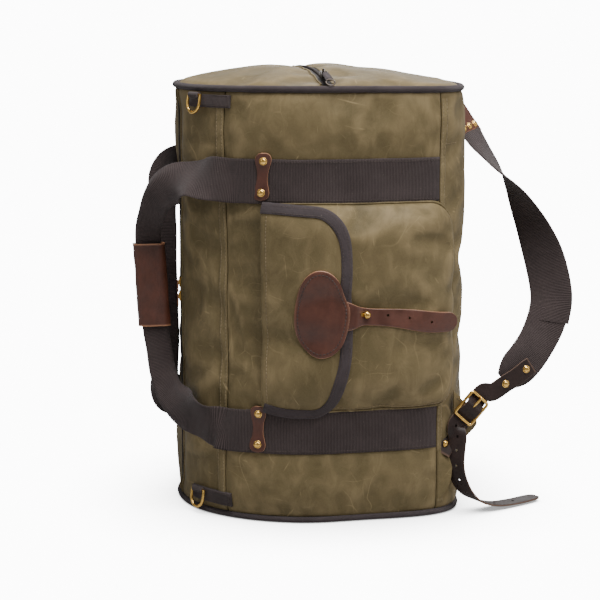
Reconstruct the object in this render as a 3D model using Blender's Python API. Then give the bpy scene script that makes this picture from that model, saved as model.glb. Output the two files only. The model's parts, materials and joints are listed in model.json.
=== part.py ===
"""Waxed-canvas duffel bag with backpack straps, standing on its end.

+Z runs along the bag's length, -X is the main zip side, -Y is the side with the flap pocket,
and +X is the base that the backpack straps are sewn to. The origin is the middle of the face
that the bag stands on. Lengths in this file are millimetres until a mesh is made.
"""

import math

import bmesh
import bpy
from mathutils import Matrix, Vector

MM = 0.001
GAP = 0.35  # between pieces that touch

# Body
HALF_WIDTH = 165.0  # along X
HALF_DEPTH = 146.0  # along Y
LENGTH = 505.0  # between the two piping rings
ZIP_SIDE_POWER = 2.0  # section: an ellipse towards the main zip
BASE_SIDE_POWER = 5.0  # and nearly a rounded square towards the base
WALL = 2.4
PIPING_RADIUS = 3.5
PIPING_INSET = 1.0
PANEL_END = PIPING_RADIUS + GAP  # panels stop this far from the middle of the piping
FRONT_SEAM_X = -122.0
BASE_SEAM_X = 124.0
DOME_RISE = 24.0
DOME_REACH = 141.5  # from the middle of the domed end to its edge, along Y

# Main zip and end zip
TAPE_WIDTH = 8.0
TEETH_HEIGHT = 2.6
SLIDER = (5.0, 10.0, 14.0)
UPPER_SLIDER_Z = 268.0
LOWER_SLIDER_Z = 251.0
PULL_LENGTH = 13.0
PULL_WIDTH = 8.0
END_ZIP_X = -8.0
END_ZIP_REACH = 128.0
END_SLIDER_Y = -108.0
END_PULL_LENGTH = 42.0

# Webbing, leather and metal
WEBBING = 51.0
WEBBING_THICK = 2.2
LEATHER = 2.3
UPPER_BAND_Z = 401.0
LOWER_BAND_Z = 108.0
BAND_START_X = -94.0
CHAPE_X = -84.0
CHAPE_LENGTH = 50.0
CHAPE_SHIFT = 3.0  # the upper chapes sit this far above the middle of their band
RIVET_RADIUS = 4.6
RIVET_HEIGHT = 2.6
RIVET_SPACING = 35.0
GRIP_BOTTOM = 217.0
GRIP_TOP = 319.0
GRIP_WIDTH = 37.0
GRIP_DEPTH = 17.0
ROLLED_WIDTH = 29.0  # webbing folded lengthwise inside the grip
ROLLED_THICK = 9.0
RING_WIRE = 1.6
RING_HEIGHT = 12.5  # half the bar of a D-ring
RING_REACH = 17.0

# Pocket and flap
POCKET_LEFT = -83.0
POCKET_RIGHT = 131.0
POCKET_BOTTOM = LOWER_BAND_Z + WEBBING / 2 + 0.8
POCKET_TOP = UPPER_BAND_Z - WEBBING / 2 - 0.8
POCKET_PUFF = 12.0
POCKET_EDGE = 2.6
FLAP_RIGHT = 14.0
FLAP_BOTTOM = 124.5
FLAP_TOP = 376.8
FLAP_THICK = 2.0
BINDING_WIDTH = 11.0
BINDING_THICK = 1.6
OVAL_CENTRE = (-19.0, 252.0)
OVAL_HALF = (30.0, 51.0)
STUD_AT = (31.0, 247.5)
STUD_HEAD = 3.6
TONGUE_END = 136.0
TONGUE_DROP = 0.16  # the tongue slopes down this much along X

# Backpack straps: the routes are chosen by hand
STRAP_LEATHER = 22.0
BUCKLE = (29.6, 35.0, 3.2)
BUCKLE_WIRE = 3.0
PRONG = 2.0


def clear_scene():
    for obj in list(bpy.data.objects):
        bpy.data.objects.remove(obj)


def make_material(name, colour, roughness, metallic=0.0):
    material = bpy.data.materials.new(name)
    material.use_nodes = True
    shader = material.node_tree.nodes["Principled BSDF"]
    shader.inputs["Base Color"].default_value = (*colour, 1)
    shader.inputs["Roughness"].default_value = roughness
    shader.inputs["Metallic"].default_value = metallic
    material.diffuse_color = (*colour, 1)
    return material


def make_materials():
    return {
        "canvas": make_material("waxed_canvas", (0.155, 0.118, 0.055), 0.72),
        "webbing": make_material("cotton_webbing", (0.045, 0.034, 0.032), 0.85),
        "binding": make_material("cotton_binding", (0.05, 0.04, 0.036), 0.8),
        "leather": make_material("brown_leather", (0.12, 0.036, 0.024), 0.5),
        "dark_leather": make_material("dark_leather", (0.028, 0.016, 0.014), 0.5),
        "brass": make_material("brass", (0.72, 0.47, 0.16), 0.25, 1.0),
        "zip": make_material("zip_tape", (0.02, 0.017, 0.016), 0.6),
    }


# ---------------------------------------------------------------- shape of the body


def power_at(x):
    return ZIP_SIDE_POWER if x < 0 else BASE_SIDE_POWER


def around(angle, z, off=0.0):
    """The point of the body's outer surface in this direction from its middle, moved out by off."""
    c, s = math.cos(angle), math.sin(angle)
    n = power_at(c)
    r = (abs(c / HALF_WIDTH) ** n + abs(s / HALF_DEPTH) ** n) ** (-1 / n)
    x, y = r * c, r * s
    normal = Vector(
        (
            math.copysign(abs(x / HALF_WIDTH) ** (n - 1) / HALF_WIDTH, x),
            math.copysign(abs(y / HALF_DEPTH) ** (n - 1) / HALF_DEPTH, y),
            0,
        )
    ).normalized()
    return Vector((x, y, z)) + normal * off


def angle_at(x, side):
    """The direction of the surface point at this x; side is -1 for the pocket side, 1 for the far side."""
    n = power_at(x)
    y = HALF_DEPTH * (1 - abs(x / HALF_WIDTH) ** n) ** (1 / n)
    return math.atan2(side * y, x)


def on_side(x, z, off=0.0, side=-1):
    return around(angle_at(x, side), z, off)


def side_frame(x, side=-1):
    """Unit vectors along +X over the surface, and out of it, at this x."""
    out = (on_side(x, 0, 1, side) - on_side(x, 0, 0, side)).normalized()
    along = Vector((-side * -out.y, side * -out.x, 0))
    return (along if along.x > 0 else -along), out


def dome_z(share):
    """Height of the domed end where share goes from 0 in the middle to 1 at its edge: an arc of a circle."""
    radius = dome_radius()
    return dome_centre_z() + math.sqrt(radius**2 - (share * DOME_REACH) ** 2)


def dome_radius():
    return (DOME_REACH**2 + DOME_RISE**2) / (2 * DOME_RISE)


def dome_centre_z():
    return LENGTH + DOME_RISE - dome_radius()


def disc_point(s, t, inset):
    """Maps a square (-1 to 1) onto the body's section; returns x, y and the share of the way out."""
    x = s * math.sqrt(1 - t * t / 2)
    y = t * math.sqrt(1 - s * s / 2)
    share = min(1.0, math.hypot(x, y))
    edge = around(math.atan2(y, x), 0, -inset)
    return edge.x * share, edge.y * share, share


# ---------------------------------------------------------------- making objects


class Bag:
    """Keeps the materials and one empty for each moving body, placed on its joint's axis."""

    def __init__(self):
        self.materials = make_materials()
        self.pivots = {}

    def pivot(self, body, at, parent=None):
        empty = bpy.data.objects.new("pivot_" + body, None)
        bpy.context.scene.collection.objects.link(empty)
        empty.location = Vector(at) * MM
        if parent:
            empty.parent = self.pivots[parent]
            empty.location -= self.world(parent) * MM
        self.pivots[body] = empty
        empty["at"] = list(at)

    def world(self, body):
        return Vector(self.pivots[body]["at"])

    def add(self, name, mesh, material, body=None):
        obj = bpy.data.objects.new(name, mesh)
        bpy.context.scene.collection.objects.link(obj)
        mesh.materials.append(self.materials[material])
        if body:
            obj.parent = self.pivots[body]
        return obj

    def from_bmesh(self, name, bm, material, body=None, smooth=30):
        """Makes an object from a bmesh in millimetres and world places."""
        shift = self.world(body) if body else Vector((0, 0, 0))
        bmesh.ops.translate(bm, verts=bm.verts, vec=-shift)
        bmesh.ops.scale(bm, verts=bm.verts, vec=(MM, MM, MM))
        bmesh.ops.recalc_face_normals(bm, faces=bm.faces)
        mesh = bpy.data.meshes.new(name)
        bm.to_mesh(mesh)
        bm.free()
        mesh.shade_smooth()
        mesh.set_sharp_from_angle(angle=math.radians(smooth))
        return self.add(name, mesh, material, body)

    def sheet(self, name, us, vs, place, low, high, material, body=None):
        """A thick sheet over a grid: place(u, v, off), with its two faces at the offsets low and high."""
        bm = bmesh.new()
        layers = []
        for off in (low, high):
            layers.append(
                [[bm.verts.new(place(u, v, off(u, v) if callable(off) else off)) for v in vs] for u in us]
            )
        inner, outer = layers
        rows, columns = len(us) - 1, len(vs) - 1
        for i in range(rows):
            for j in range(columns):
                bm.faces.new((outer[i][j], outer[i + 1][j], outer[i + 1][j + 1], outer[i][j + 1]))
                bm.faces.new((inner[i][j], inner[i][j + 1], inner[i + 1][j + 1], inner[i + 1][j]))
        for i in range(rows):
            for j in (0, columns):
                bm.faces.new((outer[i][j], outer[i + 1][j], inner[i + 1][j], inner[i][j]))
        for j in range(columns):
            for i in (0, rows):
                bm.faces.new((outer[i][j], outer[i][j + 1], inner[i][j + 1], inner[i][j]))
        return self.from_bmesh(name, bm, material, body)

    def strap(self, name, stations, material, body=None):
        """Lofts a strap through stations of middle, across, width and thickness."""
        bm = bmesh.new()
        rings = []
        for i, (middle, across, width, thick) in enumerate(stations):
            before, after = stations[max(i - 1, 0)][0], stations[min(i + 1, len(stations) - 1)][0]
            along = (after - before).normalized()
            across = (across - along * across.dot(along)).normalized()
            out = along.cross(across)
            rings.append(
                [
                    bm.verts.new(middle + across * (a * width / 2) + out * (o * thick / 2))
                    for a, o in ((-1, -1), (1, -1), (1, 1), (-1, 1))
                ]
            )
        for one, two in zip(rings, rings[1:]):
            for k in range(4):
                bm.faces.new((one[k], one[(k + 1) % 4], two[(k + 1) % 4], two[k]))
        bm.faces.new(rings[0])
        bm.faces.new(rings[-1])
        return self.from_bmesh(name, bm, material, body)

    def loop_wire(self, name, points, radius, material, body=None, sides=1):
        """A closed loop of round wire."""
        shift = self.world(body) if body else Vector((0, 0, 0))
        curve = bpy.data.curves.new(name, "CURVE")
        curve.dimensions = "3D"
        curve.bevel_depth = radius * MM
        curve.bevel_resolution = sides
        spline = curve.splines.new("POLY")
        spline.points.add(len(points) - 1)
        for point, place in zip(spline.points, points):
            point.co = (*((place - shift) * MM), 1)
        spline.use_cyclic_u = True
        return self.add(name, curve, material, body)

    def turned(self, name, profile, place, axis, material, body=None, steps=10):
        """Spins a profile of (radius, height) points round an axis that starts at place."""
        bm = bmesh.new()
        verts = [bm.verts.new((r, 0, h)) for r, h in profile]
        edges = [bm.edges.new(pair) for pair in zip(verts, verts[1:])]
        bmesh.ops.spin(
            bm, geom=verts + edges, cent=(0, 0, 0), axis=(0, 0, 1), angle=math.tau, steps=steps
        )
        bmesh.ops.remove_doubles(bm, verts=bm.verts, dist=1e-4)
        turn = Vector((0, 0, 1)).rotation_difference(Vector(axis)).to_matrix().to_4x4()
        bmesh.ops.transform(bm, matrix=Matrix.Translation(Vector(place)) @ turn, verts=bm.verts)
        return self.from_bmesh(name, bm, material, body)

    def block(self, name, size, place, turn, bevel, material, body=None):
        """A box of this size with rounded edges, turned and moved to its place."""
        bm = bmesh.new()
        bmesh.ops.create_cube(bm, size=1)
        bmesh.ops.scale(bm, verts=bm.verts, vec=size)
        bmesh.ops.bevel(bm, geom=bm.edges, offset=bevel, segments=1, affect="EDGES")
        bmesh.ops.transform(bm, matrix=Matrix.Translation(Vector(place)) @ turn.to_4x4(), verts=bm.verts)
        return self.from_bmesh(name, bm, material, body)

    def combine(self, obj, other, operation):
        """Applies a Boolean of a helper, which stays hidden."""
        other.hide_render = True
        other.display_type = "WIRE"
        modifier = obj.modifiers.new(operation.lower(), "BOOLEAN")
        modifier.operation = operation
        modifier.object = other


def spread(low, high, steps):
    return [low + (high - low) * i / steps for i in range(steps + 1)]


def smooth_route(points, steps):
    """Catmull-Rom curve through rows of numbers, with this many steps between rows."""
    rows = [points[0], *points, points[-1]]
    out = []
    for i in range(1, len(rows) - 2):
        a, b, c, d = rows[i - 1 : i + 3]
        for k in range(steps):
            t = k / steps
            out.append(
                tuple(
                    0.5
                    * (
                        2 * q
                        + (r - p) * t
                        + (2 * p - 5 * q + 4 * r - s) * t * t
                        + (3 * q - p - 3 * r + s) * t**3
                    )
                    for p, q, r, s in zip(a, b, c, d)
                )
            )
    return out + [tuple(float(v) for v in points[-1])]


def stations_of(rows, steps):
    """Stations for a strap from rows of x, y, z, across x, y, z, width, thickness."""
    return [(Vector(r[:3]), Vector(r[3:6]), r[6], r[7]) for r in smooth_route(rows, steps)]


# ---------------------------------------------------------------- body of the bag


def add_panels(bag):
    low, high = PIPING_RADIUS + PANEL_END, LENGTH - PANEL_END
    heights = [low, high]
    seam = angle_at(FRONT_SEAM_X, -1)
    corner = angle_at(BASE_SEAM_X, -1)
    tape = -math.pi + TAPE_WIDTH / HALF_WIDTH
    slack = GAP / HALF_WIDTH
    for name, start, end, steps in (
        ("front_panel", seam + slack, corner - slack, 18),
        ("base_panel", corner + slack, -corner - slack, 20),
        ("back_panel", -corner + slack, -seam - slack, 18),
        ("zip_panel_front", tape + slack, seam - slack, 8),
        ("zip_panel_back", -seam + slack, -tape - slack, 8),
    ):
        bag.sheet(name, spread(start, end, steps), heights, around, -WALL, 0, "canvas")
    edge = -math.pi + GAP / 2 / HALF_WIDTH
    for name, start, end in (("zip_teeth_front", edge, tape), ("zip_teeth_back", -tape, -edge)):
        bag.sheet(name, spread(start, end, 2), heights, around, -1, TEETH_HEIGHT, "zip")


def add_ends(bag):
    grid = spread(-1, 1, 14)
    inset = PIPING_INSET + PIPING_RADIUS + 2 * GAP

    def flat(s, t, off):
        x, y, _ = disc_point(s, t, inset)
        return Vector((x, y, off))

    def dome(s, t, off):
        x, y, share = disc_point(s, t, inset)
        return Vector((x, y, dome_z(share) + off))

    bag.sheet("end_panel_bottom", spread(-1, 1, 10), spread(-1, 1, 10), flat, 0, WALL, "canvas")
    bag.sheet("end_panel_top", grid, grid, dome, -WALL, 0, "canvas")
    angles = spread(0, math.tau, 56)[:-1]
    for name, z in (("piping_bottom", PIPING_RADIUS), ("piping_top", LENGTH)):
        ring = [around(a, z, -PIPING_INSET) for a in angles]
        bag.loop_wire(name, ring, PIPING_RADIUS, "binding")


def add_end_zip(bag):
    """A zip that runs over the middle of the domed end, from the pocket side to the far side."""
    radius, centre_z = dome_radius(), dome_centre_z()

    def over(u, v, off):
        angle = v / radius
        reach = radius + off
        return Vector((END_ZIP_X + u, reach * math.sin(angle), centre_z + reach * math.cos(angle)))

    reach = END_ZIP_REACH
    bag.sheet("end_zip_tape", [-8, -3, 3, 8], spread(-reach, reach, 16), over, 0.6, 2.8, "zip")
    angle = END_SLIDER_Y / radius
    bag.pivot("end_slider", (END_ZIP_X, 0, centre_z))
    turn = Matrix.Rotation(-angle, 3, "X")
    place = over(0, END_SLIDER_Y, 5.4)
    bag.block("end_zip_slider", (10, 14, 4), place, turn, 1.0, "brass", "end_slider")
    hook = over(0, END_SLIDER_Y - 6, 9.7)
    bag.pivot("end_pull", hook, "end_slider")
    away = Vector((0, -1, -0.24)).normalized()
    rows = ((-1.2, 7), (3, 11), (END_PULL_LENGTH, 12))
    stations = [(hook + away * d, Vector((1, 0, 0)), w, LEATHER) for d, w in rows]
    bag.strap("end_zip_pull", stations, "dark_leather", "end_pull")


def add_main_zip(bag):
    face = -HALF_WIDTH - TEETH_HEIGHT - GAP
    depth = SLIDER[0]
    for name, z in (("upper", UPPER_SLIDER_Z), ("lower", LOWER_SLIDER_Z)):
        body = name + "_slider"
        place = Vector((face - depth / 2, 0, z))
        bag.pivot(body, place)
        bag.block("main_slider_" + name, SLIDER, place, Matrix.Identity(3), 1.2, "brass", body)
        hook = Vector((face - depth - GAP - LEATHER / 2, 0, z + 1))
        bag.pivot(name + "_pull", hook, body)
        rows = ((1.5, 5), (-3, PULL_WIDTH), (-PULL_LENGTH, PULL_WIDTH))
        down = [(hook + Vector((0, 0, d)), Vector((0, 1, 0)), w, LEATHER) for d, w in rows]
        bag.strap("main_pull_" + name, down, "leather", name + "_pull")


# ---------------------------------------------------------------- bands, chapes and handles


def add_bands(bag):
    offsets = (GAP, GAP + WEBBING_THICK)
    half = WEBBING / 2
    stations = spread(BAND_START_X, BASE_SEAM_X - 2, 14)
    for side, where in ((-1, "front"), (1, "back")):
        for z, level in ((UPPER_BAND_Z, "upper"), (LOWER_BAND_Z, "lower")):
            label = f"{where}_{level}"

            def place(x, v, off, side=side):
                return on_side(x, v, off, side)

            bag.sheet("band_" + label, stations, [z - half, z + half], place, *offsets, "webbing")
            add_chape(bag, label, z, side)


def add_chape(bag, label, z, side):
    """A dog-bone of leather over the start of a handle, with a domed rivet through each end."""
    top = GAP + WEBBING_THICK + GAP + LEATHER / 2
    z += CHAPE_SHIFT if z == UPPER_BAND_Z else 0
    along, out = side_frame(CHAPE_X, side)
    half = CHAPE_LENGTH / 2
    ends = [(half, 9), (half - 4, 15), (half - 12, 15)]
    rows = [(-d, w) for d, w in ends] + [(0, 11)] + ends[::-1]
    stations = [(on_side(CHAPE_X, z + d, top, side), along, w, LEATHER) for d, w in rows]
    bag.strap("chape_" + label, stations, "leather")
    for share, end in ((1, "a"), (-1, "b")):
        place = on_side(CHAPE_X, z + share * RIVET_SPACING / 2, top + LEATHER / 2 + 0.2, side)
        shoulder = (RIVET_RADIUS * 0.65, RIVET_HEIGHT * 0.85)
        profile = [(0, 0), (RIVET_RADIUS, 0), (RIVET_RADIUS, 0.7), shoulder, (0, RIVET_HEIGHT)]
        bag.turned(f"rivet_{label}_{end}", profile, place, out, "brass")


def handle_start(side):
    return on_side(BAND_START_X - 1.8, 0, GAP + WEBBING_THICK / 2 + 0.2, side)


def handle_rows(side):
    """x, y, z, across x, y, z, width, thickness along a handle, from its upper chape to its lower one."""
    start = handle_start(side)
    flat = (WEBBING, WEBBING_THICK)
    rolled = (ROLLED_WIDTH, ROLLED_THICK)
    first = (start.x, start.y, UPPER_BAND_Z, 0, 0, 1, *flat)
    last = (start.x, start.y, LOWER_BAND_Z, 0, 0, -1, *flat)
    if side < 0:
        between = [
            (-130, -101, UPPER_BAND_Z, 0, 0, 1, *flat),
            (-160, -82, UPPER_BAND_Z + 4, -0.1, 0, 1, 49, WEBBING_THICK),
            (-179, -66, UPPER_BAND_Z + 2, -0.45, 0, 0.9, 44, 3.0),
            (-192, -48, 391, -0.8, 0, 0.6, 38, 4.5),
            (-199, -30, 372, -1, 0.1, 0.3, 32, 6.5),
            (-201, -17, 348, -1, 0, 0.1, *rolled),
            (-201, -12, GRIP_TOP, -1, 0, 0, *rolled),
            (-198, -12, 268, -1, 0, 0, *rolled),
            (-195, -12, GRIP_BOTTOM, -1, 0, 0, *rolled),
            (-194, -14, 188, -1, 0, -0.05, *rolled),
            (-193, -21, 162, -1, 0, -0.25, 28, 7.0),
            (-186, -37, 138, -0.9, 0, -0.5, 30, 5.0),
            (-172, -60, 120, -0.6, 0, -0.9, 36, 3.5),
            (-152, -84, 112, -0.3, 0, -1, 44, WEBBING_THICK),
            (-128, -102, LOWER_BAND_Z, 0, 0, -1, *flat),
        ]
    else:
        between = [
            (-130, 101, UPPER_BAND_Z, 0, 0, 1, *flat),
            (-154, 85, UPPER_BAND_Z, -0.1, 0, 1, 49, WEBBING_THICK),
            (-170, 68, 395, -0.4, 0, 0.9, 44, 3.0),
            (-181, 50, 380, -0.8, 0, 0.6, 36, 4.5),
            (-186, 34, 356, -1, -0.1, 0.3, 31, 6.5),
            (-188, 19, 328, -1, 0, 0.1, *rolled),
            (-188, 13, 290, -1, 0, 0, *rolled),
            (-190, 13, 240, -1, 0, 0, *rolled),
            (-194, 14, 195, -1, 0, -0.05, *rolled),
            (-197, 20, 165, -1, 0, -0.25, 28, 7.0),
            (-194, 34, 138, -0.9, 0, -0.5, 31, 5.0),
            (-180, 58, 114, -0.6, 0, -0.9, 38, 3.5),
            (-156, 82, 103, -0.3, 0, -1, 46, WEBBING_THICK),
            (-128, 102, LOWER_BAND_Z, 0, 0, -1, *flat),
        ]
    rows = [first, *between, last]
    return rows


def add_handles(bag):
    for side, where in ((-1, "front"), (1, "back")):
        at = handle_start(side)
        body = "handle_" + where
        bag.pivot(body, (at.x, at.y, 0))
        bag.strap(body, stations_of(handle_rows(side), 3), "webbing", body)
    top = Vector((-201, -12, GRIP_TOP - 1))
    bottom = Vector((-195, -12, GRIP_BOTTOM + 1))
    bm = bmesh.new()
    loops = []
    for middle in (bottom, (top + bottom) / 2, top):
        for width, depth in ((GRIP_WIDTH, GRIP_DEPTH), (ROLLED_WIDTH + 2, ROLLED_THICK + 2)):
            corner = (1, 1) if depth < GRIP_DEPTH else (0.85, 0.72)
            outline = [(1, 0), corner, (0.35, 1), (-0.35, 1), (-corner[0], corner[1])]
            outline += [(-x, -y) for x, y in outline]
            places = [middle + Vector((x * width / 2, y * depth / 2, 0)) for x, y in outline]
            loops.append([bm.verts.new(place) for place in places])
    count = len(loops[0])
    for a, b in ((0, 2), (2, 4), (1, 3), (3, 5), (0, 1), (4, 5)):
        for k in range(count):
            after = (k + 1) % count
            bm.faces.new((loops[a][k], loops[a][after], loops[b][after], loops[b][k]))
    bag.from_bmesh("handle_sleeve", bm, "leather", "handle_front")


# ---------------------------------------------------------------- D-rings


def add_d_rings(bag):
    """A ring that hangs in a loop of narrow webbing beside the main zip, at each end of the bag."""
    bar_x = -146.0
    for name, z in (("top", LENGTH - 8), ("bottom", 28.0)):
        start, end = angle_at(-116, -1), angle_at(bar_x - 5.0, -1)
        angles, heights = spread(start, end, 6), [z - 13.4, z + 2.6]
        tab = bag.sheet("d_ring_tab_" + name, angles, heights, around, GAP, 4.6, "webbing")
        along, out = side_frame(bar_x)
        bar = on_side(bar_x, z, 7.6)
        lying = Vector((0, 0, 1)).rotation_difference(along).to_matrix()
        loops = []
        for radius, height, kind in ((4.4, 15, "loop"), (2.3, 19, "bore")):
            bm = bmesh.new()
            bmesh.ops.create_cone(
                bm, cap_ends=True, segments=14, radius1=radius, radius2=radius, depth=height
            )
            bmesh.ops.rotate(bm, verts=bm.verts, cent=(0, 0, 0), matrix=Matrix.Rotation(0.13, 3, "Z"))
            bmesh.ops.rotate(bm, verts=bm.verts, cent=(0, 0, 0), matrix=lying)
            bmesh.ops.translate(bm, verts=bm.verts, vec=bar)
            loops.append(bag.from_bmesh(f"helper_{kind}_{name}", bm, "webbing"))
        bag.combine(tab, loops[0], "UNION")
        bag.combine(tab, loops[1], "DIFFERENCE")
        body = f"ring_{name}"
        bag.pivot(body, (bar.x, bar.y, z))
        away = Vector((0, 0, -1)) + out * 0.12
        away.normalize()
        points = [bar + along * v for v in (-RING_HEIGHT, -3.7, 4.3, RING_HEIGHT)]
        for k in range(1, 13):
            turn = math.pi * k / 13
            points.append(bar + along * math.cos(turn) * RING_HEIGHT + away * math.sin(turn) * RING_REACH)
        bag.loop_wire(f"d_ring_{name}", points, RING_WIRE, "brass", body, 2)


# ---------------------------------------------------------------- pocket and flap


def fade(value, power):
    return max(0.0, 1 - abs(value) ** power)


def pocket_height(x, z):
    """How far the pocket's outer face stands off the front panel."""
    middle = (POCKET_BOTTOM + POCKET_TOP) / 2
    half = (POCKET_TOP - POCKET_BOTTOM) / 2
    v = max(-1.0, min(1.0, (z - middle) / half))
    right = (x - 60) / (POCKET_RIGHT - 60)
    left = (60 - x) / (60 - POCKET_LEFT)
    u = fade(right, 4) if x > 60 else 1 - 0.55 * max(0.0, left) ** 2
    return POCKET_EDGE + POCKET_PUFF * u * fade(v, 6)


def add_pocket(bag):
    xs = spread(POCKET_LEFT, 60, 9) + spread(60, POCKET_RIGHT, 8)[1:]
    half = (POCKET_TOP - POCKET_BOTTOM) / 2
    middle = (POCKET_BOTTOM + POCKET_TOP) / 2
    upper = [0.3, 0.6, 0.78, 0.9, 0.97, 1]
    zs = [middle + half * v for v in [-v for v in reversed(upper)] + [0] + upper]

    def inner(x, z):
        return pocket_height(x, z) - POCKET_EDGE + GAP

    bag.sheet("pocket_body", xs, zs, on_side, inner, pocket_height, "canvas")
    x, z = STUD_AT
    _, out = side_frame(x)
    profile = [(0, 0), (4.2, 0), (4.2, 1.0), (2.0, 1.4), (2.0, 4.6), (STUD_HEAD, 6.4), (2.4, 9.4), (0, 10.0)]
    bag.turned("pocket_stud", profile, on_side(x, z, pocket_height(x, z) + 0.5), out, "brass")


def flap_limits(x):
    """Lowest and highest z of the flap at this x: two rounded corners on its free side."""
    high, low = FLAP_TOP, FLAP_BOTTOM
    reach = (x - (FLAP_RIGHT - 36)) / 36
    if reach > 0:
        high -= 52 * (1 - math.sqrt(max(0.0, 1 - min(1, reach) ** 2)))
    reach = (x - (FLAP_RIGHT - 44)) / 44
    if reach > 0:
        low += 76 * (1 - math.sqrt(max(0.0, 1 - min(1, reach) ** 2)))
    root = max(0.0, 1 - (x - POCKET_LEFT) / 32)
    return low + 17 * root**2, high


def flap_place(x, v, off):
    low, high = flap_limits(x)
    z = low + (high - low) * v
    return on_side(x, z, pocket_height(x, z) + off)


def flap_xs():
    corner = [FLAP_RIGHT - 44 * d for d in (0.8, 0.6, 0.42, 0.27, 0.14, 0.05, 0)]
    return spread(POCKET_LEFT, FLAP_RIGHT - 44, 5) + corner


def flap_vs():
    near = [0, 0.028, 0.056, 0.09, 0.13, 0.2, 0.32]
    return near + [0.5] + [1 - v for v in reversed(near)]


def add_flap(bag):
    hinge = on_side(POCKET_LEFT, 0, pocket_height(POCKET_LEFT, 250) + 1.6)
    bag.pivot("flap", (hinge.x, hinge.y, 0))
    low = 0.6
    high = low + FLAP_THICK
    bag.sheet("pocket_flap", flap_xs(), flap_vs(), flap_place, low, high, "canvas", "flap")
    under = high + 2.5 * GAP
    add_binding(bag, under)
    add_oval(bag, under + BINDING_THICK + GAP)
    add_tongue(bag)


def add_binding(bag, off):
    """Webbing folded over the flap's three free edges; its outer face is what this strip stands for."""
    inner = BINDING_WIDTH
    outline = []
    for x in flap_xs()[:-1]:
        outline.append((x, flap_limits(x)[1]))
    low, high = flap_limits(FLAP_RIGHT)
    outline += [(FLAP_RIGHT, z) for z in spread(high, low, 8)]
    for x in reversed(flap_xs()[:-1]):
        outline.append((x, flap_limits(x)[0]))
    edges = []
    for i, (x, z) in enumerate(outline):
        (xa, za), (xb, zb) = outline[max(i - 1, 0)], outline[min(i + 1, len(outline) - 1)]
        run = math.hypot(xb - xa, zb - za)
        edges.append((x + inner * (zb - za) / run, z - inner * (xb - xa) / run))

    def place(i, share, offset):
        x, z = (a + (b - a) * share for a, b in zip(outline[i], edges[i]))
        return on_side(x, z, pocket_height(x, z) + offset)

    steps = range(len(outline))
    bag.sheet("flap_binding", steps, [0, 0.5, 1], place, off, off + BINDING_THICK, "binding", "flap")


def add_oval(bag, off):
    cx, cz = OVAL_CENTRE
    rx, rz = OVAL_HALF

    def place(s, t, offset):
        x = cx + rx * s * math.sqrt(1 - t * t / 2)
        z = cz + rz * t * math.sqrt(1 - s * s / 2)
        return on_side(x, z, pocket_height(x, z) + offset)

    grid = spread(-1, 1, 8)
    bag.sheet("oval_patch", grid, grid, place, off, off + LEATHER, "leather", "flap")


def tongue_z(x):
    return STUD_AT[1] - TONGUE_DROP * (x - STUD_AT[0])


def add_tongue(bag):
    """The strap that leaves the oval, buttons over the stud and has spare holes along its tail."""
    start = FLAP_RIGHT + 1.0
    hinge = on_side(start, 0, pocket_height(start, tongue_z(start)) + 1.8)
    bag.pivot("tongue", (hinge.x, hinge.y, 0), "flap")
    widths = [(start, 30), (19, 27), (24, 24.5), (31, 23.5), (44, 23), (60, 22.5), (78, 22)]
    widths += [(96, 22), (112, 22), (124, 21), (131, 18), (TONGUE_END, 9)]
    xs = [x for x, _ in widths]
    wide = dict(widths)

    def place(x, v, off):
        z = tongue_z(x) + v * wide[x] / 2
        return on_side(x, z, pocket_height(min(x, 118), tongue_z(x)) + off)

    tongue = bag.sheet("flap_tongue", xs, [-1, 0, 1], place, 0.6, 0.6 + LEATHER, "leather", "tongue")
    x, z = STUD_AT
    bm = bmesh.new()
    bmesh.ops.create_cone(bm, cap_ends=True, segments=14, radius1=4.7, radius2=4.7, depth=14)
    bmesh.ops.scale(bm, verts=bm.verts, vec=(1.45, 1, 1))
    middle = on_side(x - 1.2, z, pocket_height(x, z) + 2)
    turn = Matrix.Rotation(math.pi / 2, 4, "X")
    bmesh.ops.transform(bm, matrix=Matrix.Translation(middle) @ turn, verts=bm.verts)
    bag.combine(tongue, bag.from_bmesh("helper_stud_hole", bm, "leather"), "DIFFERENCE")


# ---------------------------------------------------------------- backpack straps


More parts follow.
